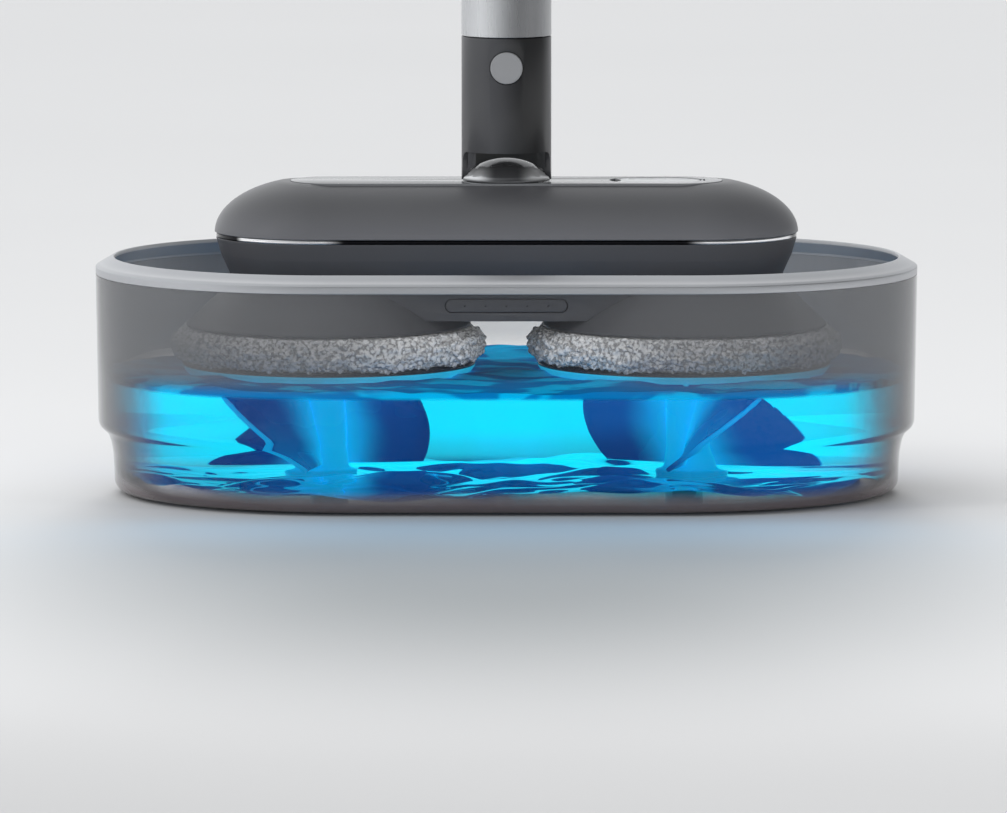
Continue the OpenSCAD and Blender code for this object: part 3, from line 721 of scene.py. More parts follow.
def inset_at(height):
    """How far the tub's ends step in at a height, both in millimetres."""
    for (high, above), (low, below) in zip(STEP_INSET, STEP_INSET[1:]):
        if low <= height <= high:
            return below + (above - below) * (height - low) / (high - low)
    return 0.0 if height > STEP_INSET[0][0] else STEP_INSET[-1][1]


def step_ends_in(piece):
    """Moves each level of both ends inwards, so that the tub gets its grip steps."""
    focus(piece)
    heights = sorted({round(v.co.z / MM, 2) for v in piece.data.vertices})
    bpy.ops.object.mode_set(mode="EDIT")
    for height in heights:
        shift = inset_at(height) * MM
        if shift <= 0:
            continue
        for way in (1, -1):
            pick(piece, lambda p: abs(p.z / MM - height) < 0.02 and p.x * way > 0)
            bpy.ops.transform.translate(value=(-shift * way, 0, 0))
    bpy.ops.object.mode_set(mode="OBJECT")


def levels(radius_at, top, bottom):
    """Corners down a wall, one at each height where the grip step bends."""
    heights = [h for h, _ in STEP_INSET if bottom < h < top]
    return [(radius_at(h), h, 0) for h in heights]


def wall_radius(height):
    """Outer radius of the tub at a height: a slight draft over the upper part."""
    return 133.6 + max(0.0, height - 43) * 1.4 / 84.4


class SCRUBBER_OT_tub(bpy.types.Operator):
    """Builds the smoky tub wall and its silver rim"""
    bl_idname = "scrubber.tub"
    bl_label = "Tub"

    def execute(self, context):
        settings = context.scene.scrubber_tub
        wall, floor = 3.5, 5.5
        lip = RIM_LOW.z / MM
        base = TUB_LOW.z / MM
        inner = levels(lambda h: wall_radius(h) - wall, lip, floor + 5)
        outer = levels(wall_radius, lip, base + 8)
        corners = [(0, floor, 0), (133.6 - wall, floor, 5.5)] + inner[::-1]
        corners += [(wall_radius(lip) - wall, lip, 0), (wall_radius(lip), lip, 0)] + outer
        corners += [(133.6, base, 8), (118, base, 1.0), (117, base + 1, 1.0), (0, base + 1, 0)]
        tub = capsule("tub_wall", rounded(corners, steps=6), END * MM, steps=64)
        step_ends_in(tub)
        settle(tub, smoky_wall(settings), "tub", "tub_smoke", "tub_shell", smooth=50)

        ring = [(135, lip + 0.05, 0.4), (135, lip + 4.4, 0.9), (124.4, RIM_TOP.z / MM, 1.0),
                (123.9, RIM_TOP.z / MM - 2.6, 0.6), (131.4, lip + 1.4, 0.6), (131.4, lip + 0.05, 0.2)]
        band = capsule("rim_band", rounded(ring, closed=True), END * MM, steps=72)
        settle(band, rim_silver(settings), "tub", "rim_silver", "tub_rim", smooth=40)
        return {"FINISHED"}


class SCRUBBER_OT_water(bpy.types.Operator):
    """Builds the rippled water"""
    bl_idname = "scrubber.water"
    bl_label = "Water"

    def swell(self, name, level, wave, grain, offset, depth):
        """A block of water: a rippled sheet at a level, extruded up or down."""
        surface = sheet(name, (0, 0, level / MM), 500, 290, 190, 110)
        for scale, share in ((grain, 1.0), (grain * 0.42, 0.42)):
            texture = bpy.data.textures.new(name + "_swell", "CLOUDS")
            texture.noise_scale = scale
            texture.noise_depth = 1
            guide = bpy.data.objects.new(name + "_guide", None)
            bpy.context.scene.collection.objects.link(guide)
            guide.location = (offset, offset * 0.7, 0.0)
            guide.scale = (1.7, 1.0, 1.0)
            bpy.context.view_layer.update()
            modify(surface, "DISPLACE", texture=texture, strength=wave * share, mid_level=0.5,
                   direction="Z", texture_coords="OBJECT", texture_coords_object=guide)
            bpy.data.objects.remove(guide)
            bpy.data.textures.remove(texture)
        bpy.ops.object.mode_set(mode="EDIT")
        bpy.ops.mesh.select_all(action="SELECT")
        bpy.ops.mesh.extrude_region_move(TRANSFORM_OT_translate={"value": (0, 0, depth)})
        bpy.ops.mesh.select_all(action="SELECT")
        bpy.ops.mesh.normals_make_consistent(inside=False)
        bpy.ops.object.mode_set(mode="OBJECT")
        return surface

    def execute(self, context):
        settings = context.scene.scrubber_water
        top = self.swell("water_body", WATER_TOP.z - 0.0006, settings.wave, 0.030, 0.13, -0.2)
        bottom = self.swell("water_bottom", 0.0125, settings.wave * 2.6, 0.055, 0.37, 0.2)
        inner = levels(lambda h: wall_radius(h) - 3.75, 90, 10)
        corners = [(0, 4, 0), (129.85, 4, 5)] + inner[::-1] + [(130.1, 90, 0), (0, 90, 0)]
        basin = capsule("basin", rounded(corners), END * MM, steps=64)
        step_ends_in(basin)
        carve(top, bottom, basin, operation="INTERSECT")
        settle(top, blue_water(settings), "tub", "water", "wash_water", smooth=60)
        return {"FINISHED"}


class SCRUBBER_OT_impellers(bpy.types.Operator):
    """Builds the impellers and the turntables above them"""
    bl_idname = "scrubber.impellers"
    bl_label = "Impellers"

    HUB, TIP = 11.0, 59.0
    LOW, HIGH = 20.0, 61.0

    def blade(self, centre, start, twist):
        """One blade: a flat grid whose rows are turned about the hub, thickened and rounded."""
        rows = 14
        middle = (centre + (self.HUB + self.TIP) / 2, 0, (self.LOW + self.HIGH) / 2)
        blade = sheet("blade", middle, self.TIP - self.HUB, self.HIGH - self.LOW, 12, rows, upright=True)
        bpy.ops.object.mode_set(mode="EDIT")
        height = (self.HIGH - self.LOW) * MM
        for row in range(rows + 1):
            level = self.LOW * MM + height * row / rows
            pick(blade, lambda p: abs(p.z - level) < height / rows / 3)
            turn = start + twist * (1 - row / rows)
            bpy.ops.transform.rotate(value=-math.radians(turn), orient_axis="Z",
                                     center_override=(centre * MM, 0, level))
        bpy.ops.object.mode_set(mode="OBJECT")
        modify(blade, "SOLIDIFY", thickness=2.6 * MM, offset=0)
        soften(blade, 0.9, 2, 60)
        return blade

    def execute(self, context):
        settings = context.scene.scrubber_water
        blue = blue_blade(settings)
        pale = disc_blue()
        plans = (("left", -END, -29, 50), ("right", END, 189, -50))
        for side, centre, start, twist in plans:
            base = (centre * MM, 0, 0)
            hub = lathe(side + "_blades", rounded(
                [(7.05, 10, 0), (16, 10, 1.5), (17.5, 16.5, 1.2), (12.5, 18, 3), (11, 30, 8),
                 (11, 58, 6), (13.5, 72.8, 1.0), (7.05, 72.8, 0)]), base, steps=48)
            blades = [self.blade(centre, start + 120 * k, twist) for k in range(3)]
            join(hub, *blades)
            settle(hub, blue, side + "_agitator", "impeller_blue", side + "_impeller", smooth=40)

            disc = lathe(side + "_disc", rounded(
                [(0, 73, 0), (78, 73, 2), (80, 70.5, 0.5), (82.5, 70.5, 0.5), (84.9, 74, 1.2),
                 (84.9, 76, 0.5), (0, 76, 0)]), base, steps=120)
            pegs = []
            for k in range(24):
                turn = math.radians(15 * k)
                spot = (centre * MM + 81.2 * MM * math.cos(turn), 81.2 * MM * math.sin(turn), 0)
                pegs.append(lathe("peg", rounded([(0, 67.6, 0), (1.7, 67.6, 0.8), (1.7, 73.5, 0),
                                                  (0, 73.5, 0)], steps=2), spot, steps=10))
            join(disc, *pegs)
            settle(disc, pale, side + "_agitator", "turntable_blue", side + "_turntable", smooth=40)
        return {"FINISHED"}


# ---------------------------------------------------------------- pads and bells

class SCRUBBER_OT_pads(bpy.types.Operator):
    """Builds the fluffy spinning pads"""
    bl_idname = "scrubber.pads"
    bl_label = "Pads"

    def execute(self, context):
        settings = context.scene.scrubber_pads
        low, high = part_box("right_mop_pad")
        centre = (low.x + high.x) / 2
        radius = (high.x - low.x) / 2 / MM
        bottom, top = low.z / MM, high.z / MM
        bulge = (top - bottom) / 2
        profile = [Vector((0, bottom)) * MM]
        profile += [Vector((r, bottom)) * MM for r in (20, 40, 55, 64, 68, 72, 75, 77, 79)]
        profile += [Vector((radius - bulge + bulge * math.cos(math.radians(a)),
                            bottom + bulge + bulge * math.sin(math.radians(a)))) * MM
                    for a in range(-90, 91, 4)]
        profile += [Vector((r, top)) * MM for r in (79, 76, 60, 30, 0)]
        pad = lathe("right_pile", profile, (centre, 0, 0), steps=620)
        group = pad.vertex_groups.new(name="edge")
        for vertex in pad.data.vertices:
            reach = math.hypot(vertex.co.x - centre, vertex.co.y) / MM
            share = min(1.0, max(0.0, (reach - 74) / 8))
            if vertex.co.z / MM > top - 1.5:
                share = min(share, max(0.0, (reach - 80) / 6))
            group.add([vertex.index], share, "REPLACE")
        for kind, scale, share, level in (("VORONOI", 0.0042, -1.0, 0.18), ("CLOUDS", 0.0028, 0.9, 0.5),
                                          ("CLOUDS", 0.022, 0.7, 0.5)):
            texture = bpy.data.textures.new("pile_" + kind.lower(), kind)
            texture.noise_scale = scale
            modify(pad, "DISPLACE", texture=texture, strength=settings.pile * share, mid_level=level,
                   vertex_group="edge", texture_coords="LOCAL")
            bpy.data.textures.remove(texture)
        twin = copy_across(pad, "left_pile")
        pile = chenille(settings)
        for side, piece in (("right", pad), ("left", twin)):
            settle(piece, pile, side + "_pad", "pad_grey", side + "_mop_pad", smooth=180, padded=0.9)
        return {"FINISHED"}


class SCRUBBER_OT_housing(bpy.types.Operator):
    """Builds the lower housing, the bells over the pads, the block between them and the trim"""
    bl_idname = "scrubber.housing"
    bl_label = "Lower housing"

    HALF = 110.0   # millimetres from the middle to the head's end centres

    def execute(self, context):
        settings = context.scene.scrubber_head
        grey = moulded("housing_grey_plastic", tuple(settings.housing), 0.42, coat=0.04, specular=0.25)
        low, high = HOUSING_LOW.z / MM, HOUSING_TOP.z / MM
        shell = capsule("housing_shell", rounded(
            [(46.6, low + 0.1, 0.3), (49.6, low + 0.1, 0.6), (50.4, low + 4, 3), (55.4, low + 15, 14),
             (58.2, high, 0.5), (55, high, 0.5), (52.6, low + 15, 12), (46.8, low + 4, 2)],
            closed=True, steps=6), self.HALF * MM, steps=56)
        settle(shell, grey, "head", "housing_grey", "lower_housing", smooth=40)

        bell_low, bell_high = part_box("right_skirt")
        rim, crown = bell_low.z / MM, bell_high.z / MM
        bell = lathe("right_bell", rounded(
            [(14, crown, 0), (57, crown, 1.4), (58.2, crown - 3.4, 5), (69.5, crown - 13.2, 26),
             (78, crown - 21.4, 14), (82.4, crown - 25.6, 1.2), (82.2, rim, 0.5), (79.3, rim, 0.4),
             (76, crown - 23, 8), (66, crown - 13.6, 20), (56, crown - 4.4, 3), (50, crown - 3, 2),
             (14, crown - 3, 0)], steps=6), ((bell_low.x + bell_high.x) / 2, 0, 0), steps=128)
        twin = copy_across(bell, "left_bell")
        for side, piece in (("right", bell), ("left", twin)):
            settle(piece, grey, "head", "housing_grey", side + "_skirt", smooth=50)

        block_low, block_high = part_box("nozzle_block")
        nose = block("nose_block", block_low / MM, block_high / MM - Vector((0, 0, 0.05)))
        for centre in (-END, END):
            carve(nose, lathe("cutter", rounded(
                [(0, rim, 0), (82.8, rim, 0), (82.7, crown - 25.6, 1.2), (78.3, crown - 21.4, 14),
                 (69.8, crown - 13.2, 26), (58.5, crown - 3.4, 5), (57.3, crown + 1, 0),
                 (0, crown + 1, 0)], steps=6), (centre * MM, 0, 0), steps=160))
        bar_low, bar_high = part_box("spray_bar")
        bar_mid = (bar_low.z + bar_high.z) / 2
        front = bar_low.y
        carve(nose, capsule("cutter", rounded([(0, -3, 0), (4.15, -3, 0), (4.15, 3, 0), (0, 3, 0)]),
                            0.0314, (0, block_low.y + 0.0012, bar_mid), up=(0, -1, 0), steps=16))
        soften(nose, 1.0, 3, 40)
        settle(nose, grey, "head", "housing_grey", "nozzle_block", smooth=35)
        bar = capsule("spray_strip",
                      rounded([(0, -1.9, 0), (3.75, -1.9, 0.2), (3.75, 0, 0.7), (0, 0, 0)]),
                      0.0312, (0, front, bar_mid), up=(0, -1, 0), steps=16)
        for k in range(-2, 3):
            hole = rounded([(0, -2.5, 0), (0.6, -2.5, 0), (0.6, 0.2, 0), (0, 0.2, 0)])
            carve(bar, lathe("cutter", hole,
                             (k * 0.012, front, bar_mid), axis=(0, -1, 0), steps=12))
        settle(bar, grey, "head", "housing_grey", "spray_bar", smooth=35)

        trim = capsule("trim_band", rounded(
            [(58.1, TRIM_LOW.z / MM, 0.5), (58.1, TRIM_TOP.z / MM, 0.5), (54.2, TRIM_TOP.z / MM, 0.2),
             (54.2, TRIM_LOW.z / MM, 0.2)], closed=True), self.HALF * MM, steps=56)
        settle(trim, trim_metal(), "head", "trim_chrome", "trim_ring", smooth=50)
        return {"FINISHED"}


class SCRUBBER_OT_cover(bpy.types.Operator):
    """Builds the upper cover, its glossy panel and the filler cap"""
    bl_idname = "scrubber.cover"
    bl_label = "Upper cover"

    HALF = 110.0
    DEPTH = 59.0

    def crown(self, inset):
        """Quarter-ellipse crown from the seam to the flat top, in metres."""
        rise = 31.9 - inset
        return [Vector(((self.DEPTH - inset) * math.cos(math.radians(a)),
                        COVER_LOW.z / MM + rise * math.sin(math.radians(a)))) * MM
                for a in range(0, 69, 4)]

    def plate(self, name, half, radius, low, high, edge, middle=0.0, steps=40):
        return capsule(name, rounded([(0, low, 0), (radius, low, edge / 2), (radius, high, edge),
                                      (0, high, 0)]), half * MM, (middle, 0, 0), steps=steps)

    def execute(self, context):
        settings = context.scene.scrubber_head
        # Painted light: the cover is lighter below 0.148 m, easing to its own colour by 0.174 m.
        grey = moulded("cover_satin_grey", tuple(settings.cover), 0.36, coat=0.05, specular=0.35,
                       painted_light_below=(0.148, 0.174))
        gloss = moulded("panel_gloss_grey", tuple(settings.panel), 0.12, grain=0.02, specular=0.3)
        panel_low, panel_high = PANEL_LOW.z / MM, PANEL_TOP.z / MM
        cap_middle = 0.086
        outer = self.crown(0)
        inner = self.crown(2.5)
        seam = [Vector((self.DEPTH - 0.9, COVER_LOW.z / MM)) * MM]
        profile = seam + outer + [Vector((0, outer[-1].y / MM)) * MM]
        profile += [Vector((0, inner[-1].y / MM)) * MM] + inner[::-1]
        profile[len(seam)] = Vector((self.DEPTH, COVER_LOW.z / MM + 0.6)) * MM
        profile += [seam[0]]
        cover = capsule("cover_shell", profile, self.HALF * MM, steps=64)
        cutters = [self.plate("cutter", 99.5, 25.7, panel_low, panel_high + 4, 0),
                   self.plate("cutter", 9, 17.6, panel_low - 9, panel_high + 4, 0, cap_middle),
                   lathe("cutter", [(0, 0.15), (0.013, 0.15), (0.013, 0.19), (0, 0.19)], steps=40)]
        carve(cover, *cutters)
        settle(cover, grey, "head", "cover_grey", "upper_cover", smooth=30)

        panel = self.plate("glossy_panel", 99.5, 25.45, panel_low + 0.02, panel_high, 0, steps=72)
        carve(panel, self.plate("cutter", 9, 17.3, panel_low - 3, panel_high + 3, 0, cap_middle),
              lathe("cutter", [(0, 0.17), (0.0113, 0.17), (0.0113, 0.19), (0, 0.19)], steps=40),
              block("cutter", (110, -5.3, 176), (115, 5.3, 184)))
        soften(panel, 0.35, 3, 40)
        settle(panel, gloss, "head", "panel_gloss", "top_panel", smooth=30)

        lid = self.plate("filler_lid", 9, 16.95, panel_low + 0.6, panel_high - 0.15, 0.0, cap_middle, 48)
        carve(lid, lathe("cutter", rounded([(0, panel_low - 2, 0), (15.5, panel_low - 2, 0),
                                            (15.5, panel_high + 3, 0), (0, panel_high + 3, 0)]),
                         (cap_middle - 0.035, 0, 0), steps=96))
        soften(lid, 0.3, 3, 40)
        barrel = lathe("barrel", rounded([(0, -5, 0), (0.92, -5, 0.2), (0.92, 5, 0.2), (0, 5, 0)]),
                       (CAP_TOP.x - 0.95 * MM, 0, panel_low * MM + 0.001), axis=BACK, steps=20)
        lug = block("lug", (108.6, -4.9, panel_low + 0.65), (113.2, 4.9, panel_low + 1.35))
        join(lid, barrel, lug)
        silver = moulded("cap_silver_plastic", (0.42, 0.43, 0.445), 0.28, coat=0.3)
        settle(lid, silver, "filler_cap", "cap_silver", "filler_cap", smooth=30)
        return {"FINISHED"}


# ---------------------------------------------------------------- neck and pole

class SCRUBBER_OT_neck(bpy.types.Operator):
    """Builds the domed foot, the neck sleeve and its round button"""
    bl_idname = "scrubber.neck"
    bl_label = "Neck"

    RADIUS = 26.0
    PIN = 188.0
    EAR = 6.3

    def execute(self, context):
        settings = context.scene.scrubber_pole
        base = 181.5
        dome_radius, dome_middle = 35.3, 159.0
        arc = [Vector((dome_radius * math.sin(math.radians(a)),
                       dome_middle + dome_radius * math.cos(math.radians(a)))) * MM
               for a in (46, 44, 40, 36, 32, 28, 24, 20, 16, 12, 8, 4, 0)]
        profile = rounded([(0, KNUCKLE_LOW.z / MM, 0), (11, KNUCKLE_LOW.z / MM, 1), (11, base, 0),
                           (25.55, base, 0.3)], steps=3)[:-1]
        profile += [Vector((25.55, base)) * MM, Vector((25.6, base + 1.2)) * MM] + arc
        dome = lathe("domed_foot", profile, steps=120)
        for way in (-1, 1):
            carve(dome, lathe("cutter", rounded([(0, 0, 0), (7.9, 0, 0), (7.9, 9, 0), (0, 9, 0)]),
                              (22.2 * MM * way, 0, self.PIN * MM), axis=ALONG * way, steps=48))
        soften(dome, 0.3, 2, 45)
        settle(dome, domed_metal(), "foot", "dome_grey", "swivel_knuckle", smooth=35)

        top = NECK_TOP.z / MM
        window = 198.5
        r = self.RADIUS
        ear = self.EAR
        sleeve = lathe("neck_tube", rounded(
            [(0, 222.6, 0), (22.3, 222.6, 0), (22.3, 180, 0), (r, 180, 0), (r, top, 0.5),
             (19.05, top, 0.3), (19.05, 225.5, 0), (0, 225.5, 0)]), steps=120)
        under = prism("cutter", rounded(
            [(-40, window, 0), (-ear, window, 6.2), (-ear, self.PIN - ear, ear - 0.02),
             (ear, self.PIN - ear, ear - 0.02), (ear, window, 6.2), (40, window, 0), (40, 170, 0),
             (-40, 170, 0)], closed=True, steps=6), 0.031)
        button_z = (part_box("release_button")[0].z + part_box("release_button")[1].z) / 2
        # A plate across the front of the window, made black by the neck finish's painted shade so the
        # window reads as dark shade.
        flap = block("flap", (-22.2, -13, 186), (22.2, -11, 223.5))
        carve(flap, lathe("cutter", rounded([(0, -30, 0), (36.2, -30, 0), (36.2, 30, 0), (0, 30, 0)]),
                          (0, 0, 0.159), axis=BACK, steps=120))
        carve(sleeve, under, block("cutter", (-21.8, 3, 175), (21.8, 40, 220.5)),
              lathe("cutter", rounded([(0, 20.3, 0), (9.75, 20.3, 0), (9.75, 30, 0), (0, 30, 0)]),
                    (0, 0, button_z), axis=-BACK, steps=64))
        carve(sleeve, flap, operation="UNION")
        soften(sleeve, 0.35, 2, 40)
        # Painted shade: darker down the right side, and black inside the bore and on the plate in the
        # window.
        dark = moulded("neck_satin_grey", tuple(settings.neck), 0.3, coat=0.1, specular=0.4, painted_side_shade=0.85,
                       painted_shade_radius=0.0221)
        settle(sleeve, dark, "neck", "neck_grey", "neck_sleeve", smooth=35)

        button_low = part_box("release_button")[0].y
        depth = -button_low / MM
        button = lathe("round_button", rounded(
            [(0, depth - 2.4, 0), (9.35, depth - 2.4, 0.2), (9.35, depth, 0.8), (6.5, depth + 0.05, 3),
             (0, depth - 0.15, 0)]), (0, 0, button_z), axis=-BACK, steps=72)
        silver = moulded("button_satin_silver", (0.205, 0.209, 0.217), 0.3, coat=0.1)
        settle(button, silver, "release_button", "button_silver", "release_button", smooth=35)
        return {"FINISHED"}


class SCRUBBER_OT_pole(bpy.types.Operator):
    """Builds the silver body tube, its shoulder and the upper tube"""
    bl_idname = "scrubber.pole"
    bl_label = "Pole"

    def execute(self, context):
        settings = context.scene.scrubber_pole
        low, high = BODY_TUBE_LOW.z / MM, BODY_TUBE_TOP.z / MM
        tube = lathe("silver_body", rounded(
            [(19.1, low, 0.2), (26, low, 0.5), (26, high, 0.4), (24.02, high, 0.2),
             (24.02, low + 3, 0), (19.1, low + 3, 0)], closed=True), steps=128)
        plug_low, plug_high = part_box("charge_cover")
        port = (plug_low.z + plug_high.z) / 2
        carve(tube, capsule("cutter", rounded([(0, 20, 0), (5, 20, 0), (5, 30, 0), (0, 30, 0)]),
                            0.005, (0, 0, port), up=BACK, steps=20))
        # Painted shade: the tubes are darker down their right side.
        metal = brushed("brushed_silver", tuple(settings.tube), painted_side_shade=0.68)
        settle(tube, metal, "pole", "tube_silver", "body_tube", smooth=35)

        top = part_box("tube_shoulder")[1].z / MM
        shoulder = lathe("pole_shoulder", rounded(
            [(15.02, high - 18, 0), (24, high - 18, 0.5), (24, high, 0), (26, high, 0.6),
             (25.4, high + 5, 6), (19.4, high + 24, 10), (19, top - 4, 0.8), (18.2, top - 3.4, 0.4),
             (18.2, top, 0.8), (15.02, top, 0.3)], closed=True), steps=96)
        settle(shoulder, moulded("shoulder_grey", tuple(settings.neck), 0.35, coat=0.2), "pole",
               "shoulder_grey", "tube_shoulder", smooth=35)

        tube_low, tube_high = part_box("upper_tube")
        upper = lathe("silver_pole", rounded(
            [(13.5, tube_low.z / MM, 0.2), (15, tube_low.z / MM, 0.2), (15, tube_high.z / MM, 0.2),
             (13.5, tube_high.z / MM, 0.2)], closed=True), steps=96)
        settle(upper, metal, "pole", "tube_silver", "upper_tube", smooth=35)
        return {"FINISHED"}


class SCRUBBER_OT_handle(bpy.types.Operator):
    """Builds the handle shells, grip, power button, trigger and hanging loop"""
    bl_idname = "scrubber.handle"
    bl_label = "Handle"

    def half(self, name, keep_front, base, top):
        """One handle shell: the whole barrel turned, then cut down the middle."""
        shell = lathe(name, rounded(
            [(15.02, base - 30, 0.2), (16.6, base - 30, 0.8), (18.9, base - 2, 8), (18.95, top - 13, 3),
             (17.5, top - 7, 2.5), (14.6, top - 6, 0.5), (0, top - 6, 0), (0, top - 20, 0),
             (15, top - 20, 1), (15, base + 24, 0), (15.02, base + 20, 0)], closed=True), steps=96)
        bpy.ops.object.mode_set(mode="EDIT")
        bpy.ops.mesh.select_all(action="SELECT")
        bpy.ops.mesh.bisect(plane_co=(0, 0, 0), plane_no=BACK, use_fill=True,
                            clear_inner=not keep_front, clear_outer=keep_front)
        bpy.ops.mesh.select_all(action="SELECT")
        bpy.ops.mesh.normals_make_consistent(inside=False)
        bpy.ops.object.mode_set(mode="OBJECT")
        return shell

    def execute(self, context):
        settings = context.scene.scrubber_pole
        grip_low, grip_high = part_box("grip_sleeve")
        base = grip_low.z / MM - 42
        top = HANDLE_TOP.z / MM + 6
        grey = moulded("handle_satin_grey", tuple(settings.neck), 0.38, coat=0.15)
        front = self.half("handle_shell_front", True, base, top)
        carve(front, block("cutter", (-6.4, -40, base - 8), (6.4, -8, base + 34.7)),
              lathe("cutter", rounded([(0, 10, 0), (7.3, 10, 0), (7.3, 30, 0), (0, 30, 0)]),
                    (0, 0, (base + 92) * MM), axis=-BACK, steps=48))
        soften(front, 0.4, 2, 45)
        settle(front, grey, "pole", "handle_grey", "handle_front", smooth=35)
        back = self.half("handle_shell_back", False, base, top)
        for z in (base + 22.3, top - 15):
            carve(back, lathe("cutter", rounded([(0, 13, 0), (2.8, 13, 0), (2.8, 30, 0), (0, 30, 0)]),
                              (0.008, 0, z * MM), axis=BACK, steps=24))
        soften(back, 0.4, 2, 45)
        settle(back, grey, "pole", "handle_grey", "handle_back", smooth=35)

        rings = 22
        low, high = grip_low.z / MM, grip_high.z / MM
        outline = [(19.02, low, 0), (20.2, low, 0.6)]
        pitch = (high - low - 8) / rings
        for k in range(rings):
            outline += [(20.95, low + 4 + pitch * (k + 0.25), 0.4),
                        (20.2, low + 4 + pitch * (k + 0.75), 0.4)]
        outline += [(20.2, high, 0.6), (19.02, high, 0)]
        grip = lathe("ribbed_grip", rounded(outline, closed=True, steps=2), steps=96)
        carve(grip, lathe("cutter", rounded([(0, 10, 0), (8.4, 10, 0), (8.4, 30, 0), (0, 30, 0)]),
                          (0, 0, (base + 92) * MM), axis=-BACK, steps=48))
        settle(grip, rubbery("grip_rubber", (0.03, 0.03, 0.032)), "pole", "grip_black", "grip_sleeve",
               smooth=40)

        low_p, high_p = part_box("power_button")
        reach = -low_p.y / MM
        power = lathe("power_key", rounded(
            [(0, reach - 6.4, 0), (5, reach - 6.4, 0.2), (5, reach - 5, 0), (7, reach - 5, 0.2),
             (7, reach - 0.3, 0.9), (4.5, reach - 0.2, 2), (0, reach - 0.6, 0)]),
            (0, 0, (low_p.z + high_p.z) / 2), axis=-BACK, steps=56)
        settle(power, moulded("key_satin_silver", (0.27, 0.275, 0.285), 0.3), "power_button",
               "button_silver", "power_button", smooth=35)

        paddle = block("water_trigger", (-6, -27, base - 4), (6, -22, base + 30))
        focus(paddle)
        bpy.ops.object.mode_set(mode="EDIT")
        bpy.ops.mesh.select_all(action="SELECT")
        bpy.ops.mesh.subdivide(number_cuts=6)
        for level in range(8):
            height = base - 4 + 34 * level / 7
            bow = 1.6 * math.sin(math.pi * level / 7)
            pick(paddle, lambda p: abs(p.z / MM - height) < 1.0)
            bpy.ops.transform.translate(value=(0, bow * MM, 0))
        bpy.ops.object.mode_set(mode="OBJECT")
        arm = block("arm", (-6, -25.5, base + 26), (6, -2.5, base + 30))
        barrel = lathe("barrel", rounded([(1.55, -6, 0.2), (4, -6, 0.4), (4, 6, 0.4), (1.55, 6, 0.2)],
                                         closed=True), (0, 0, (base + 30) * MM), axis=ALONG, steps=40)
        carve(paddle, arm, barrel, operation="UNION")
        soften(paddle, 0.7, 3, 45)
        light_grey = moulded("trigger_grey", (0.25, 0.255, 0.265), 0.32)
        settle(paddle, light_grey, "spray_trigger", "trigger_grey", "spray_trigger", smooth=35)

        loop = lathe("hang_loop", rounded([(10.6, -3.9, 1.6), (14.9, -3.9, 1.6), (14.9, 3.9, 1.6),
                                           (10.6, 3.9, 1.6)], closed=True),
                     (0, 0, (top - 6) * MM), axis=-BACK, steps=48, angle=-180)
        settle(loop, grey, "pole", "handle_grey", "hanging_loop", smooth=40)
        return {"FINISHED"}


class SCRUBBER_OT_works(bpy.types.Operator):
    """Gives the parts inside and the small hardware their finishes"""
    bl_idname = "scrubber.works"
    bl_label = "Inner works"

    def execute(self, context):
        steel = brushed("turned_steel", (0.5, 0.5, 0.51), (1.0, 1.0, 0.3), 0.3, 1.0)
        black = moulded("inner_black_plastic", (0.018, 0.018, 0.02), 0.45)
        finishes = {
            steel: ("impeller_posts", "tilt_pin", "cap_hinge_pin", "housing_screws", "handle_screws",
                    "trigger_pin", "trigger_spring", "button_spring", "left_drive_shaft",
                    "right_drive_shaft"),
            black: ("chassis_plate", "swivel_seat", "left_pad_plate", "right_pad_plate", "tube_spigot"),
            moulded("pump_black_plastic", (0.025, 0.025, 0.027), 0.5): ("water_pump",),
            moulded("bush_white_nylon", (0.7, 0.7, 0.68), 0.4): ("left_bush", "right_bush"),
            brushed("motor_can", (0.32, 0.32, 0.33), (1.0, 1.0, 0.1), 0.35): ("left_gearmotor",
                                                                            "right_gearmotor"),
            clear_plastic(): ("water_tank",),
            rubbery("hose_silicone", (0.5, 0.52, 0.54)): ("water_hose",),
            soldered_board(): ("control_board",),
            rubbery("seal_rubber", (0.02, 0.02, 0.021)): ("filler_seal", "charge_cover", "tub_feet"),
            brushed("cell_sleeve", (0.08, 0.16, 0.32), (1.0, 1.0, 0.2), 0.35, 0.4): ("battery_pack",),
        }
        for finish, nodes in finishes.items():
            for name in nodes:
                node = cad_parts[name]
                node.data.materials.clear()
                node.data.materials.append(finish)
        return {"FINISHED"}


# ---------------------------------------------------------------- stage

